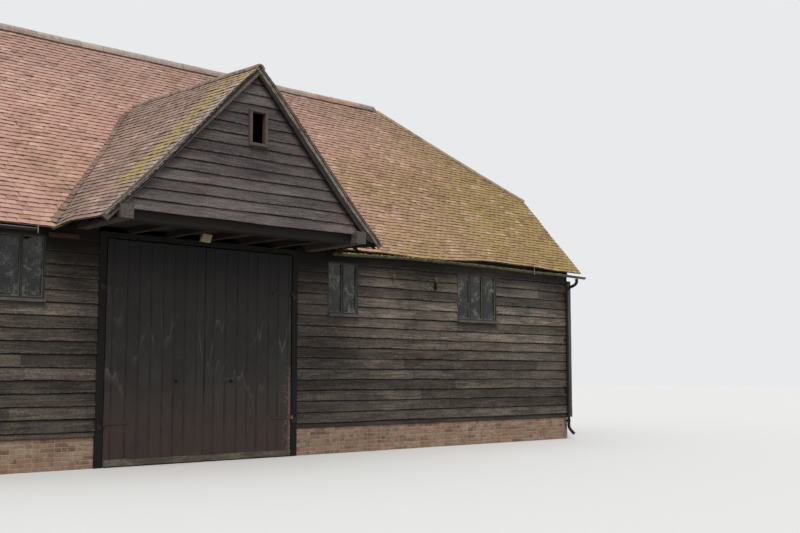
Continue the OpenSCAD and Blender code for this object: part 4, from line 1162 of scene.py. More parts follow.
VALLEY_HALF, VALLEY_START, VALLEY_END, VALLEY_LAP = 0.055, 0.02, 0.30, 1.7
VALLEY_OUT = np.array([0, -1, 1.4]) / math.hypot(1, 1.4)


def valley_edge(side, z):
    """The ends of a valley's chord at a height: on the long slope, and on the canopy's."""
    depth = float(canopy_depth(z))
    inner = np.array([side * float(valley_reach(z)), depth - VALLEY_HALF, z])
    if side < 0:
        return np.array([float(left_valley(z)) - VALLEY_HALF, depth, z]), swept_left(inner)
    return np.array([float(right_valley(z)) + VALLEY_HALF, depth, z]), inner


def build_valleys():
    """Tiles swept round in the valleys, one to a course, a little ragged."""
    heap = Heap()
    dice = np.random.default_rng(341)
    step = TILE_GAUGE * math.sin(math.radians(45))
    for side in (-1, 1):
        z = EAVE_Z + VALLEY_START
        while z < CANOPY_RIDGE_Z - VALLEY_END:
            low = valley_edge(side, z + dice.normal(0, 0.004))
            high = valley_edge(side, z + VALLEY_LAP * step)
            dice.normal(0, 0.05, 2)  # unused, but it keeps the order of the draws
            near, far = dice.uniform(-0.12, 0.02), dice.uniform(0.98, 1.12)
            across = np.linspace(near + 0.01, far - 0.01, TILE_COLUMNS)[:, None]
            lift = 0.004 + dice.normal(0, 0.003)
            sheets = [edge[0] + (edge[1] - edge[0]) * across + VALLEY_OUT * (height - thick)
                      for thick in (0.0, TILE_THICK)
                      for edge, height in ((low, lift), (high, lift - TILE_RISE))]
            heap.shell(settled(np.stack(sheets)), dice.random(), TILE_FADE, dice.uniform(0, 0.6))
            z += step
    heap.piece("valley_tiles", "valley_tile", "tile_brown")


RIDGE_RADIUS, HIP_RADIUS, CANOPY_RADIUS = 0.140, 0.092, 0.080
RIDGE_PIECE, RIDGE_ARCS, RIDGE_THICK = 0.45, 9, 0.016
RIDGE_SPREAD, HIP_SPREAD, CANOPY_SPREAD = 88, 72, 84
CANOPY_RIDGE_SINK, HIP_SINK, HIP_SHORT = 0.092, 0.016, 0.15
BEDDING_STEP, BEDDING_ARCS, BEDDING_OUT, BEDDING_IN = 0.09, 11, 0.006, -0.02


def ridge_run(heap, line, spread, radius, seed, warp=np.array):
    """Half-round tiles end to end. line has a start, an end, and the section's two axes."""
    dice = np.random.default_rng(seed)
    start, end, side, up = np.array(line, float)
    run = end - start
    count = max(1, round(np.linalg.norm(run) / RIDGE_PIECE))
    piece = np.linalg.norm(run) / count
    turns = np.radians(np.linspace(-spread, spread, RIDGE_ARCS))
    for i in range(count):
        near = (i + 0.004 / piece) / count
        far = (i + 1 - 0.010 / piece) / count
        drop = dice.uniform(0.0, 0.006, 2)
        slide = dice.normal(0, 0.003, 2)
        rows = []
        for skin in (radius + RIDGE_THICK, radius + 0.002):
            for j, share in enumerate((near, near + (far - near) * 0.5, far)):
                centre = start + run * share - up * (drop[0] + (drop[1] - drop[0]) * j / 2)
                centre = centre + side * (slide[0] + (slide[1] - slide[0]) * j / 2)
                rows.append(arc(centre, skin, turns, side, up))
        heap.shell(settled(warp(np.stack(rows))), dice.random(), 0.0, dice.uniform(0, 0.6))


def bedding_run(heap, line, spread, radius, seed, warp=np.array):
    """Mortar under and between the ridge tiles."""
    dice = np.random.default_rng(seed)
    start, end, side, up = np.array(line, float)
    steps = max(3, int(np.linalg.norm(end - start) / BEDDING_STEP))
    turns = np.radians(np.linspace(-spread - 2, spread + 2, BEDDING_ARCS))
    rows = []
    for skin in (BEDDING_OUT, BEDDING_IN):
        for share in np.linspace(0, 1, steps):
            rough = radius + skin + dice.uniform(-0.004, 0.004, BEDDING_ARCS)
            rows.append(arc(start + (end - start) * share, rough[:, None], turns, side, up))
    heap.shell(settled(warp(np.stack(rows))))


def build_ridges():
    """Half-round tiles on the ridge, the four hips and the canopy, on one bed of mortar."""
    tiles, hips, canopy, mortar = Heap(), Heap(), Heap(), Heap()
    ridge_z = RIDGE_Z - RIDGE_RADIUS
    line = ((-RIDGE_END, RIDGE_Y, ridge_z), (RIDGE_END, RIDGE_Y, ridge_z), (0, 1, 0), (0, 0, 1))
    ridge_run(tiles, line, RIDGE_SPREAD, RIDGE_RADIUS, 301)
    bedding_run(mortar, line, RIDGE_SPREAD, RIDGE_RADIUS, 302)
    tiles.piece("ridge_tiles_round", "ridge_tile", "ridge_tile", ["ridge_tiles"])
    long_out = np.array([0, -1, 1]) / math.sqrt(2)
    hip_up = np.array([HIP_FALL, 0, 1]) / math.hypot(HIP_FALL, 1) + long_out
    hip_up = hip_up / np.linalg.norm(hip_up)
    tilt = math.acos(min(1, float(np.dot(hip_up, long_out))))
    spread = math.radians(HIP_SPREAD)
    sink = HIP_RADIUS * (math.cos(spread) + math.tan(tilt) * math.sin(spread)) + HIP_SINK
    for right in (-1, 1):
        for front in (-1, 1):
            foot = np.array([right * HIP_X, RIDGE_Y + front * (RIDGE_Z - HIP_Z), HIP_Z])
            head = np.array([right * RIDGE_END, RIDGE_Y, RIDGE_Z])
            run = (head - foot) / np.linalg.norm(head - foot)
            up = hip_up * np.array([right, -front, 1])
            line = (foot - up * sink, head - run * HIP_SHORT - up * sink, np.cross(up, run), up)
            corner = 2 * right + front
            ridge_run(hips, line, HIP_SPREAD, HIP_RADIUS, 310 + corner, flared)
            bedding_run(mortar, line, HIP_SPREAD, HIP_RADIUS, 320 + corner, flared)
    hips.piece("hip_tiles_round", "hip_tile", "ridge_tile", ["hip_tiles"])
    canopy_z = CANOPY_RIDGE_Z - CANOPY_RIDGE_SINK
    line = ((0, CANOPY_Y, canopy_z - APEX_DROP), (0, EAVE_Y + CANOPY_RIDGE_Z - EAVE_Z, canopy_z),
            (1, 0, 0), (0, 0, 1))
    ridge_run(canopy, line, CANOPY_SPREAD, CANOPY_RADIUS, 331)
    bedding_run(mortar, line, CANOPY_SPREAD, CANOPY_RADIUS, 332)
    canopy.piece("canopy_ridge_tiles_round", "canopy_ridge", "ridge_tile", ["canopy_ridge_tiles"])
    mortar.piece("ridge_mortar", "mortar", "ridge_tile")


# Each verge: its slope, how deep its mortar reaches, and its layers of tile ends
VERGES = (("canopy_roof_left", 0.040, 2), ("canopy_roof_right", 0.125, 5))
BED_STEPS, BED_TOP, BED_FACE, BED_BACK = 60, -0.014, 0.003, 0.024
CHIP_T, CHIP_TOP, CHIP_BACK, CHIP_LENGTHS = 0.011, -0.010, 0.03, (0.06, 0.13)


def build_verges():
    """The ends of the verge tiles and the mortar between them, on the canopy's face."""
    chips, bed = Heap(), Heap()
    dice = np.random.default_rng(851)
    for node, verge_deep, layers in VERGES:
        slope = slopes[node][0]
        v = np.linspace(0.0, slope.length - 0.01, BED_STEPS)
        bed.shell([settled(slope.points(CANOPY_Y + y, v, deep + dice.uniform(-0.005, 0.004, len(v))))
                   for y in (BED_FACE, BED_BACK) for deep in (BED_TOP, -verge_deep)])
        courses = round(slope.length / TILE_GAUGE)
        for course in range(courses):
            for layer in range(layers):
                foot = course * slope.length / courses + dice.normal(0, 0.006)
                length = dice.uniform(*CHIP_LENGTHS)
                deep = CHIP_TOP - layer * (verge_deep - 0.02) / layers
                deep += dice.normal(0, 0.002)
                lean = dice.normal(0.010, 0.005)
                ends = np.maximum([foot, min(foot + length, slope.length)], 0)
                rows = [settled(slope.points(y, ends, np.array([deep, deep - lean]) - thick))
                        for y in (CANOPY_Y + dice.uniform(0, 0.003), CANOPY_Y + CHIP_BACK)
                        for thick in (0.0, CHIP_T)]
                chips.shell(rows, dice.random())
    bed.piece("verge_mortar", "verge_mortar", "ridge_tile")
    chips.piece("verge_tile_ends", "verge_tile", "tile_brown")


# Walls, gable and plinth

# Each window: its two ends and its number of lights
WINDOWS = [(-7.16, -5.98, 3), (-3.50, -2.77, 2), (2.60, 3.33, 2), (5.98, 7.16, 3)]
BEAM_X, BEAM_HALF = (2.08 + 2.29) / 2, 0.105
FRONT_FOOT, FRONT_GAUGE, FRONT_COURSES = 0.368, 0.192, 17


def end_reach(z):
    """How far an end wall reaches to each side of the ridge's line at a height."""
    cover = COVER_T * math.sqrt(2) + 0.001
    half = np.minimum(RIDGE_Z - z - cover, (BACK_Y - FRONT_Y) / 2)
    return RIDGE_Y - half, RIDGE_Y + half


def build_wall(name, place, boards, lining, openings, seed, band=(), **how):
    """A wall's weatherboards and lining, each x0, x1, z0 and z1. band is cut from the boards."""
    outer, inner = Heap(), Heap()
    lay_boards(outer, place, *boards, [*openings, *band], seed, **how)
    lay_lining(inner, place, *lining, openings, seed, how.get("reach"))
    outer.piece(name + "_weatherboards", "weatherboard", "weatherboard", [name])
    inner.piece(name + "_lining", "lining", "weatherboard")


def build_walls():
    sill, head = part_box("window_sills")[0].z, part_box("window_frames")[1].z
    windows = [(x0, x1, sill, head) for x0, x1, lights in WINDOWS]
    beam_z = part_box("canopy_beam")[0].z
    beams = [(x - BEAM_HALF, x + BEAM_HALF, beam_z, 9) for x in (-BEAM_X, BEAM_X)]
    front_top = FRONT_FOOT + FRONT_COURSES * FRONT_GAUGE
    for name, x0, x1, seed in (("front_wall_left", -WALL_X, -JAMB_X, 401),
                               ("front_wall_right", JAMB_X, WALL_X, 402)):
        build_wall(name, facing_y(FRONT_Y, -1), (x0, x1, FRONT_FOOT, front_top),
                   (x0, x1, PLINTH_TOP, WALL_TOP), windows + beams, seed,
                   [(x0 - 1, x1 + 1, 0, PLINTH_TOP)], gauge=FRONT_GAUGE, top=WALL_TOP)
    whole = (-WALL_X, WALL_X, PLINTH_TOP, WALL_TOP)
    build_wall("back_wall", facing_y(BACK_Y, 1), whole, whole, windows, 403)
    end_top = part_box("right_end_wall")[1].z + 0.08
    for name, side, seed in (("left_end_wall", -1, 404), ("right_end_wall", 1, 405)):
        build_wall(name, facing_x(side * WALL_X, side), (FRONT_Y, BACK_Y, PLINTH_TOP, end_top),
                   (FRONT_Y + WALL_T, BACK_Y - WALL_T, PLINTH_TOP, end_top), [], seed,
                   reach=end_reach)


GABLE_FOOT, GABLE_GAUGE, GABLE_COURSES, GABLE_TOP = 3.76, 0.171, 14, 6.09
# Each edge of a bargeboard, upper and lower: its height at the apex, its fall, and its length
BARGES = {-1: ((6.25, -0.99, 2.66), (6.13, -1.009, 2.56)),
          1: ((6.235, -1.0724, 2.49), (6.085, -1.09, 2.28))}
BARGE_STEPS = 24
BARGE_Y0, BARGE_Y1 = -4.796, -4.752
BOARD_TUCK = 0.015
VENT_LOW, VENT_HIGH, VENT_BAR = (-0.165, 4.975), (0.180, 5.565), 0.052


def board_reach(z):
    """How far the gable's boards reach, to just behind the bargeboards' lower edges."""
    left, right = BARGES[-1][1], BARGES[1][1]
    near = (left[0] + BOARD_TUCK - z) / -left[1]
    far = (right[0] + BOARD_TUCK + 0.03 - z) / -right[1]
    return -np.maximum(near, 0), np.maximum(far, 0)


def build_gable():
    heap = Heap()
    vent = [(VENT_LOW[0], VENT_HIGH[0], VENT_LOW[1], VENT_HIGH[1])]
    lay_boards(heap, facing_y(GABLE_Y, -1), 0, 0, GABLE_FOOT,
               GABLE_FOOT + GABLE_COURSES * GABLE_GAUGE, vent, 411, gauge=GABLE_GAUGE,
               reach=board_reach, lengths=(6.0, 7.0), top=GABLE_TOP)
    heap.piece("canopy_gable_boards", "gable_board", "weatherboard", ["canopy_gable"])


def build_vent():
    """The frame of the vent in the gable: a sill and a head, and two jambs between them."""
    heap = Heap()
    (x0, z0), (x1, z1), bar = VENT_LOW, VENT_HIGH, VENT_BAR
    low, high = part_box("gable_vent_frame")
    bars = ((x0, x1, z0, z0 + bar), (x0, x1, z1 - bar, z1), (x0, x0 + bar, z0 + bar, z1 - bar),
            (x1 - bar, x1, z0 + bar, z1 - bar))
    for seed, (a, b, c, d) in enumerate(bars, 421):
        timber(heap, (a, low.y - 0.010, c), (b, high.y, d), seed, ease=0.006, wander=0.004)
    heap.piece("vent_bars", "vent_wood", "dark_oak", ["gable_vent_frame"])


def build_bargeboards():
    # The right bargeboard takes the darker copy of the oak: painted shade.
    for side, name, finish in ((-1, "left", "barge_oak"), (1, "right", "barge_oak_shaded")):
        heap = Heap()
        sheets = []
        for y in (BARGE_Y0, BARGE_Y1 - 0.002 * (side > 0)):
            for top_z, fall, length in BARGES[side]:
                across = np.linspace(0, length, BARGE_STEPS)
                x = side * across
                z = top_z + fall * across + 0.004 * ripple(across, 0.0, 1.1, 840 + side)
                row = np.stack([x, y + 0.003 * ripple(x, 0.0, 1.4, 845 + side), z], -1)
                if side > 0:
                    row[:, 2] += RIGHT_EAVE_RISE[0] * foot_share(row, 1.0)
                sheets.append(row)
        heap.shell(sheets)
        eased(heap.piece(name + "_bargeboard", finish, "weatherboard", ["bargeboards"]), 0.005)


BRICK_LENGTH, BRICK_WIDTH, BRICK_HEIGHT, BRICK_JOINT = 0.215, 0.1025, 0.065, 0.010
BRICK_CHAMFER, BRICK_LEAST, BRICK_SCRAP = 0.004, 0.02, 0.05
MORTAR_BACK = 0.007
BRICK_FACES = np.array([[0, 1, 2, 3]]
                       + [[i + ring, i + 4 + ring, (i + 1) % 4 + 4 + ring, (i + 1) % 4 + ring]
                          for ring in (0, 4) for i in range(4)]
                       + [[11, 10, 9, 8]])


def brick_points(u0, u1, z0, z1, depth, proud, dice):
    """A brick with a chamfered face: face, rim and back rings in wall coordinates."""
    c = BRICK_CHAMFER
    points = np.array([(u, d, z) for inset, d in ((c, proud), (0, proud - c), (0, -depth))
                       for u, z in ((u0 + inset, z0 + inset), (u1 - inset, z0 + inset),
                                    (u1 - inset, z1 - inset), (u0 + inset, z1 - inset))])
    points[:8] += dice.normal(0, 0.0012, (8, 3)) * np.array([1, 0.6, 1])
    return points


def lay_bricks(heap, place, u0, u1, seed, quoin_start=False, quoin_end=False):
    """Brickwork in alternate stretchers and headers, its courses' ends bonded at the quoins."""
    dice = np.random.default_rng(seed)
    courses = math.ceil(PLINTH_TOP / (BRICK_HEIGHT + BRICK_JOINT) - 0.1)
    height = PLINTH_TOP / courses
    quoin = BRICK_WIDTH + BRICK_JOINT
    for course in range(courses):
        odd = course % 2
        u = u0 + (quoin if quoin_start and odd else 0)
        end = u1 - (quoin if quoin_end and odd else 0)
        low = max(course * height + BRICK_JOINT / 2, 0.004)
        high = (course + 1) * height - BRICK_JOINT / 2
        header = bool(odd)
        while u < end - BRICK_LEAST:
            far = min(u + (BRICK_WIDTH if header else BRICK_LENGTH), end)
            if end - far < BRICK_SCRAP:
                far = end
            proud = -0.002 - abs(dice.normal(0, 0.0015))
            points = brick_points(u, far, low, high, BRICK_WIDTH, proud, dice)
            heap.add(place(*points.T)[None], BRICK_FACES, dice.random())
            u = far + BRICK_JOINT
            header = not header


def build_plinths():
    """Bricks on the outside of each stretch, and a core of mortar behind them."""
    x, y0, y1, m = PLINTH_X, PLINTH_Y, PLINTH_BACK_Y, MORTAR_BACK
    front, back = facing_y(y0, -1), facing_y(y1, 1)
    jobs = (
        ("plinth_front_left", [(front, -x, -JAMB_X, 501, True, False)],
         [(-x + m, -JAMB_X - 0.002, y0 + m, y0 + PLINTH_T)]),
        ("plinth_front_right", [(front, JAMB_X, x, 502, False, True)],
         [(JAMB_X + 0.002, x - m, y0 + m, y0 + PLINTH_T)]),
        ("plinth_back", [(back, -x, x, 503, True, True)],
         [(-x + m, x - m, y1 - PLINTH_T, y1 - m)]),
        ("plinth_ends", [(facing_x(-x, -1), y0, y1, 509), (facing_x(x, 1), y0, y1, 511)],
         [(-x + m, -x + PLINTH_T, y0 + PLINTH_T, y1 - PLINTH_T),
          (x - PLINTH_T, x - m, y0 + PLINTH_T, y1 - PLINTH_T)]),
    )
    for name, runs, cores in jobs:
        bricks, core = Heap(), Heap()
        for run in runs:
            lay_bricks(bricks, *run)
        for a, b, c, d in cores:
            core.box((a, c, 0), (b, d, PLINTH_TOP))
        bricks.piece(name + "_bricks", "brick", "brick", [name])
        core.piece(name + "_mortar", "mortar", "brick")


# Doors and windows

LEAF_T, LEAF_GAP, LEAF_EASE = 0.032, 0.0018, 0.004
KICK_H, KICK_T, KICK_STEPS = 0.10, 0.016, 14
LEAVES = (
    ("left", 601, (-1.7725, -1.67, -1.42, -1.21, -1.00, -0.78, -0.58, -0.38, -0.16, -0.0035),
     (-1.765, -0.0035)),
    ("right", 602, (0.0035, 0.18, 0.40, 0.63, 0.84, 1.04, 1.28, 1.48, 1.71, 1.7725),
     (0.0035, 1.765)),
)


def door_plank(heap, x0, x1, z0, z1, dice):
    """An upright board with eased edges, slightly cupped and bowed."""
    ease = LEAF_EASE
    levels = np.linspace(z0, z1, 15)
    columns = np.array([x0, x0 + 2 * ease, (x0 + x1) / 2, x1 - ease, x1])
    cup = np.array([-ease, 0, -0.0015, 0, -ease])
    bow = 0.0015 * ripple(levels, x0, 1.9, int(dice.integers(1e6)))
    front = [(columns, FRONT_Y - np.minimum(cup + shift - 0.0015, 0), np.full(5, level))
             for level, shift in zip(levels, bow)]
    back = [(columns, np.full(5, FRONT_Y + LEAF_T), np.full(5, level)) for level in levels]
    across = np.tile([2.0, 1.0, 0.0, 1.0, 1.0], 2 * len(levels))
    heap.shell(np.moveaxis(np.array(front + back), 1, 2), dice.random(), across)


def build_doors():
    for side, seed, joints, kick_ends in LEAVES:
        node, body = side + "_door_boards", "door_" + side
        dice = np.random.default_rng(seed)
        low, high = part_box(node)
        planks, kick = Heap(), Heap()
        for x0, x1 in zip(joints[:-1], joints[1:]):
            foot, head = low.z + dice.uniform(0, 0.012), high.z - dice.uniform(0, 0.004)
            door_plank(planks, x0 + LEAF_GAP, x1 - LEAF_GAP, foot, head, dice)
        x = np.linspace(*kick_ends, KICK_STEPS)
        wave = 0.006 * ripple(x, 0.0, 0.7, seed)
        face = FRONT_Y - KICK_T + wave * 0.15 + 0.001
        kick.shell([np.stack([x, y, z], -1) for y in (face, np.full(KICK_STEPS, FRONT_Y + 0.001))
                    for z in (low.z + 0 * wave, low.z + KICK_H + (wave - 0.002))])
        kick.piece(side + "_kick_board", "kick_board", "door_board", body=body)
        planks.piece(side + "_door_planks", "door_board", "door_board", [node], body)


FRAME_SIDE, MULLION = 0.030, 0.036
FRAME_IN, FRAME_DEEP = 0.012, 0.068
PUTTY_IN, PUTTY_DEEP, PUTTY = 0.032, 0.018, 0.007
GLASS_IN, GLASS_T, GLASS_GAP = 0.051, 0.004, 0.001


def window_ring(heap, x0, x1, z0, z1, y0, y1, width, tint):
    """Four bars round an opening, on its inside."""
    heap.box((x0, y0, z0), (x0 + width, y1, z1), tint)
    heap.box((x1 - width, y0, z0), (x1, y1, z1), tint)
    heap.box((x0 + width, y0, z0), (x1 - width, y1, z0 + width), tint)
    heap.box((x0 + width, y0, z1 - width), (x1 - width, y1, z1), tint)


def build_windows():
    """Slim frames with mullions, their panes, and the putty round each pane."""
    low_z, high_z = (corner.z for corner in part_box("window_frames"))
    low_in, high_in = low_z + FRAME_SIDE, high_z - FRAME_SIDE
    members, putty, panes = Heap(), Heap(), Heap()
    dice = np.random.default_rng(701)
    for face, inward in ((FRONT_Y, 1), (BACK_Y, -1)):
        frame_y, putty_y, glass_y = (
            sorted((face + inward * near, face + inward * (near + deep)))
            for near, deep in ((FRAME_IN, FRAME_DEEP), (PUTTY_IN, PUTTY_DEEP), (GLASS_IN, GLASS_T)))
        for x0, x1, lights in WINDOWS:
            window_ring(members, x0, x1, low_z, high_z, *frame_y, FRAME_SIDE, dice.random())
            pane = (x1 - x0 - 2 * FRAME_SIDE - (lights - 1) * MULLION) / lights
            for light in range(lights):
                a = x0 + FRAME_SIDE + light * (pane + MULLION)
                b = a + pane
                if light:
                    members.box((a - MULLION, frame_y[0], low_in), (a, frame_y[1], high_in),
                                dice.random())
                window_ring(putty, a, b, low_in, high_in, *putty_y, PUTTY, dice.random())
                panes.box((a + GLASS_GAP, glass_y[0], low_in + GLASS_GAP),
                          (b - GLASS_GAP, glass_y[1], high_in - GLASS_GAP), dice.random())
    eased(members.piece("window_members", "window_paint", "window_paint", ["window_frames"]), 0.004)
    putty.piece("window_putty", "putty", "window_paint")
    panes.piece("window_panes", "old_glass", "glass", ["window_glass"])


# Timbers

BEAM_SHIFT = -0.10
CORNER_OUT, CORNER_TOP = 0.115, 3.50
EAVES_PLATE = ((-2.75, FRONT_Y - 0.034, 3.44), (-2.27, FRONT_Y - 0.002, 3.515))
RAFTER_FOOT_X, RAFTER_FOOT_Z = 2.60, 3.565


def node_points(mesh):
    points = np.empty(3 * len(mesh.vertices), np.float32)
    mesh.vertices.foreach_get("co", points)
    return points.reshape(-1, 3)


def bent_beam(places):
    """The beams' outer ends, which stand a little to the left of the posts' lines."""
    moved = places.copy()
    share = unit((FRONT_Y - places[..., 1]) / (FRONT_Y - CANOPY_Y))
    moved[..., 0] += BEAM_SHIFT * share
    return moved


def build_beams():
    beams, front, corners, brown = Heap(), Heap(), Heap(), Heap()
    plain = node_points(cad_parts["cross_beams"].data).astype(float).reshape(-1, 24, 3)
    for seed, (low, high) in enumerate(zip(plain.min(1), plain.max(1)), 801):
        timber(beams, low, high, seed, bent_beam)
    beams.piece("hewn_cross_beams", "beam_oak", "frame_oak", ["cross_beams"])
    low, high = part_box("canopy_beam")
    timber(front, (low.x + BEAM_SHIFT, low.y, low.z), (high.x + BEAM_SHIFT, high.y, high.z), 811)
    front.piece("hewn_canopy_beam", "tar_oak", "dark_oak", ["canopy_beam"])
    seed = 820
    for x0, x1 in ((-WALL_X - CORNER_OUT, 0.02 - WALL_X), (WALL_X - 0.02, WALL_X + CORNER_OUT)):
        for y0, y1 in ((FRONT_Y - 0.014, FRONT_Y + 0.11), (BACK_Y - 0.11, BACK_Y + 0.014)):
            timber(corners, (x0, y0, PLINTH_TOP), (x1, y1, CORNER_TOP), seed)
            seed += 1
    corners.piece("corner_posts", "corner_oak", "weatherboard")
    timber(brown, *EAVES_PLATE, 831)
    brown.piece("left_eaves_plate", "brown_oak", "dark_oak")


def cut_rafters():
    """The common rafters, those of the canopy cut short under its raised eaves."""
    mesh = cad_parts["common_rafters"].data.copy()
    points = node_points(mesh)
    x, y, z = points.T
    feet = (np.abs(x) > 2.2) & (y < FRONT_Y)
    x[feet] = np.clip(x[feet], -RAFTER_FOOT_X, RAFTER_FOOT_X)
    z[feet] = np.maximum(z[feet], RAFTER_FOOT_Z)
    mesh.vertices.foreach_set("co", points.ravel())
    shown("cut_common_rafters", mesh, ["common_rafters"])


# Gutters, pipes and fittings

GUTTER_R, GUTTER_T, GUTTER_OUT, GUTTER_ARCS = 0.048, 0.004, 0.338, 13
RIGHT_RIM = ((2.43, 3.565), (3.5, 3.60), (4.0, 3.615), (4.8, 3.62), (6.4, 3.62), (7.9, 3.595),
             (8.8, 3.597), (9.72, 3.575))
LEFT_RIM = ((-9.72, 3.525), (-6.0, 3.51), (-3.08, 3.50))
BACK_RIM = ((-9.72, 3.538), (-4.0, 3.545), (3.0, 3.53), (9.72, 3.538))
PIPE_X, PIPE_R, PIPE_WALL = 9.44, 0.034, 0.060
# Heights of a pipe's turns: under the rim at its neck, and over the ground at its shoe
NECK_TOP, NECK_FOOT, SOCKET, NECK_END = 0.17, 0.25, 0.40, 0.42
SHOE_TOP, SHOE_BEND, SHOE_END, SHOE_OUT = 0.36, 0.24, 0.12, 0.14
COLLARS, COLLAR_HALF, COLLAR_R = (2.2, 1.1, 0.40), 0.03, 0.006
LUG_HALF, LUG_HALF_H = 0.06, 0.012
STRAP_HALF, STRAP_T = 0.009, 0.006
# Each strap: its x, the height of the rim there, and its length
STRAPS = ((-3.085, 3.50, 0.13), (7.93, 3.595, 0.15))
TUFTS, TUFTS_START, TUFTS_LENGTH = 260, 2.46, 7.1
MOSS_RINGS = ((-0.5, 0.6), (0.0, 1.0), (0.45, 0.85), (0.75, 0.35))
LAMP_FACE = ((-0.57, 3.49), (-0.41, 3.48), (-0.37, 3.60), (-0.53, 3.61))
LAMP_Y0, LAMP_Y1 = FRONT_Y - 0.735, FRONT_Y - 0.665
# The lamp's stem up to the soffit and its stub below: a radius, and the path's x and z
LAMP_STEMS = ((0.016, ((-0.45, 3.60), (-0.448, 3.65), (-0.445, 3.70))),
              (0.014, ((-0.49, 3.49), (-0.492, 3.46), (-0.494, 3.435))))


def gutter_run(heap, rim, y):
    """A half-round gutter with stop ends under a rim of (x, z) points."""
    rim_x, rim_z = zip(*rim)
    length = rim_x[-1] - rim_x[0]
    x = np.linspace(rim_x[0], rim_x[-1], max(4, int(length / 0.3)))
    z = np.interp(x, rim_x, rim_z)
    turns = np.radians(np.linspace(0, 180, GUTTER_ARCS))
    fade = np.zeros(GUTTER_ARCS)
    fade[[0, -1]] = 1.0

    def row(place_x, radius, height):
        return np.stack([np.full(GUTTER_ARCS, place_x), y - radius * np.cos(turns), height], -1)

    heap.shell([row(a, radius, b - radius * np.sin(turns))
                for radius in (GUTTER_R, GUTTER_R - GUTTER_T) for a, b in zip(x, z)],
               0.5, np.tile(fade, 2 * len(x)))
    for a, b, thick in ((x[0], z[0], 0.004), (x[-1], z[-1], -0.004)):
        heap.shell([row(a + shift, GUTTER_R, b - drop * GUTTER_R * np.sin(turns) * 0.98 - 0.001)
                    for shift in (0.0, thick) for drop in (1.0, 0.0)])


def down_pipe(heap, x, face, sign, rim_z):
    """From a gutter down and back to the wall, and down it to a shoe over the ground."""
    out, wall = face - sign * GUTTER_OUT, face - sign * PIPE_WALL
    neck = ((out, rim_z - GUTTER_R), (out, rim_z - NECK_TOP), (wall, rim_z - NECK_FOOT),
            (wall, rim_z - NECK_END))
    stack = ((wall, rim_z - SOCKET), (wall, SHOE_TOP), (wall, SHOE_BEND),
             (wall - sign * SHOE_OUT, SHOE_END))
    for path in (neck, stack):
        pipe_run(heap, [(x, y, z) for y, z in path], PIPE_R)
    for z in (rim_z - SOCKET, *COLLARS):
        collar = [(x, wall, level) for level in (z + COLLAR_HALF, z, z - COLLAR_HALF)]
        pipe_run(heap, collar, PIPE_R + COLLAR_R)
        heap.box((x - LUG_HALF, min(wall, face), z - LUG_HALF_H),
                 (x + LUG_HALF, max(wall, face), z + LUG_HALF_H))


def build_gutters():
    gutters, pipes, straps = Heap(), Heap(), Heap()
    front_y, back_y = FRONT_Y - GUTTER_OUT, BACK_Y + GUTTER_OUT
    for rim, y in ((LEFT_RIM, front_y), (RIGHT_RIM, front_y), (BACK_RIM, back_y)):
        gutter_run(gutters, rim, y)
    gutters.piece("gutter_runs", "gutter_metal", "gutter_metal", ["gutters"], smooth=True)
    for x, rim_z in ((-PIPE_X, LEFT_RIM[0][1]), (PIPE_X, RIGHT_RIM[-1][1])):
        down_pipe(pipes, x, FRONT_Y, 1, rim_z)
        down_pipe(pipes, x, BACK_Y, -1, BACK_RIM[0][1])
    pipes.piece("rain_pipes", "black_iron", "gutter_metal", ["downpipes"])
    y = front_y - GUTTER_R - 0.001
    for x, rim_z, tall in STRAPS:
        foot = rim_z - 0.075
        timber(straps, (x - STRAP_HALF, y - STRAP_T, foot), (x + STRAP_HALF, y, foot + tall), 861,
               ease=0.002, wander=0.001)
    straps.piece("gutter_straps", "putty", "gutter_metal")


def moss_tuft(heap, place, size, dice):
    rings = []
    for level, radius in MOSS_RINGS:
        spread = size * radius * dice.uniform(0.75, 1.2, 8)
        height = np.full(8, place[2] + size * level) + dice.normal(0, size * 0.06, 8)
        rings.append(np.stack([place[0] + spread * np.cos(EIGHTHS) * 1.3,
                               place[1] + spread * np.sin(EIGHTHS), height], -1))
    heap.sweep(rings, dice.random())


def build_moss():
    """Cushions of moss in the right gutter, thickest beside the canopy."""
    heap = Heap()
    dice = np.random.default_rng(871)
    rim_x, rim_z = zip(*RIGHT_RIM)
    for _ in range(TUFTS):
        x = TUFTS_START + TUFTS_LENGTH * dice.random() ** 2.2
        y = FRONT_Y - GUTTER_OUT + dice.uniform(-0.040, 0.030)
        size = dice.uniform(0.012, 0.026) * (1.15 if x < 4.5 else 0.8)
        moss_tuft(heap, (x, y, float(np.interp(x, rim_x, rim_z)) - 0.004), size, dice)
    heap.piece("gutter_moss", "moss", "gutter_metal", smooth=True)


def leaning_box(heap, y0, y1, grow=0.0):
    """The lamp's face as a box, made larger all round by grow."""
    face = np.array(LAMP_FACE)
    face = face + grow * np.sign(face - face.mean(0))
    points = [(x, y, z) for y in (y0, y1) for x, z in face]
    sides = [[i, i + 4, (i + 1) % 4 + 4, (i + 1) % 4] for i in range(4)]
    heap.add(np.array(points)[None], [[0, 1, 2, 3], [7, 6, 5, 4]] + sides)


def build_lamp():
    case, stem = Heap(), Heap()
    leaning_box(case, LAMP_Y0 + 0.012, LAMP_Y1)
    leaning_box(case, LAMP_Y0, LAMP_Y0 + 0.010, 0.005)
    eased(case.piece("lamp_body", "lamp_plastic", "lamp_case", ["canopy_lamp"]), 0.004, 3)
    y = (LAMP_Y0 + LAMP_Y1) / 2
    for radius, path in LAMP_STEMS:
        pipe_run(stem, [(x, y, z) for x, z in path], radius)
    stem.piece("lamp_stem", "black_iron", "black_iron", smooth=True)


# Stage, light and camera

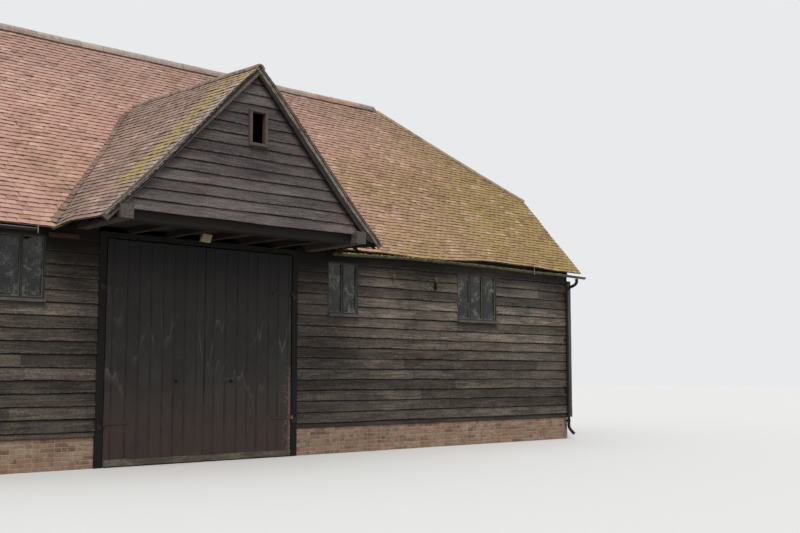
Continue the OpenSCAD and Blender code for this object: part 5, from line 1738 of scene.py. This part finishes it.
SKY_LOW, SKY_HIGH = 0.50, 0.95
SKY_LIGHT, SKY_SEEN = (232, 238, 246), (232, 234, 236)
FLOOR_HALF = 120.0
FLOOR_LIT, FLOOR_SEEN = (112, 106, 98), (226, 224, 220)
SUN_ENERGY, SUN_SIZE, SUN_TINT = 1.6, math.radians(20), (1.0, 0.97, 0.92)
SUN_TURN = (math.radians(32), 0, math.radians(-38))
CAMERA_PLACE, CAMERA_UP, CAMERA_SIDE = (-9.80, -18.507, 1.40), 0.10, -0.752
CAMERA_LENS, CAMERA_WIDTH = 48.69, 36.0


def seen_share(made):
    """1 for rays that show the background: from the camera, a gloss or through glass."""
    camera, gloss, through = (made.node("LightPath", "Is " + kind + " Ray")
                              for kind in ("Camera", "Glossy", "Transmission"))
    return made.maths("MAXIMUM", made.maths("MAXIMUM", camera, gloss), through)


def build_stage():
    mesh = bpy.data.meshes.new("floor")
    half = FLOOR_HALF
    mesh.from_pydata([(-half, -half, 0), (half, -half, 0), (half, half, 0), (-half, half, 0)], [],
                     [(0, 1, 2, 3)])
    floor = linked("floor", mesh)
    made = Finish("floor_plain", roughness=0.9, specular=0.1)
    made.colour = made.mix(seen_share(made), FLOOR_LIT, FLOOR_SEEN)
    made.done()
    mesh.materials.append(made.material)
    world = bpy.data.worlds.new("studio")
    bpy.context.scene.world = world
    world.use_nodes = True
    world.node_tree.nodes.clear()
    sky = Nodes(world.node_tree)
    height = sky.node("SeparateXYZ", "Z", {"Vector": sky.node("TexCoord", "Generated")})
    strength = height.span(0.0, 0.9, SKY_LOW, SKY_HIGH)
    light = sky.node("Background", 0, {"Color": rgb(*SKY_LIGHT), "Strength": strength})
    seen = sky.node("Background", 0, {"Color": rgb(*SKY_SEEN), "Strength": 1.0})
    mixed = sky.node("MixShader", 0, {"Fac": seen_share(sky), 1: light, 2: seen})
    sky.feed(sky.tree.nodes.new("ShaderNodeOutputWorld").inputs["Surface"], mixed)
    sun = bpy.data.lights.new("soft_sun", "SUN")
    sun.energy = SUN_ENERGY
    sun.angle = SUN_SIZE
    sun.color = SUN_TINT
    linked("soft_sun", sun).rotation_euler = SUN_TURN


def build_camera():
    data = bpy.data.cameras.new("camera")
    data.lens = CAMERA_LENS
    data.sensor_width = CAMERA_WIDTH
    camera = linked("camera", data)
    camera.location = CAMERA_PLACE
    camera.rotation_euler = (math.pi / 2 + CAMERA_UP, 0, CAMERA_SIDE)
    bpy.context.scene.camera = camera


for build in (make_finishes, dress_cad, build_roofs, build_valleys, build_ridges, build_verges,
              build_walls, build_gable, build_vent, build_bargeboards, build_beams, cut_rafters,
              build_plinths, build_doors, build_windows, build_gutters, build_moss, build_lamp,
              build_stage, build_camera):
    build()

bpy.context.scene.view_settings.view_transform = "Standard"
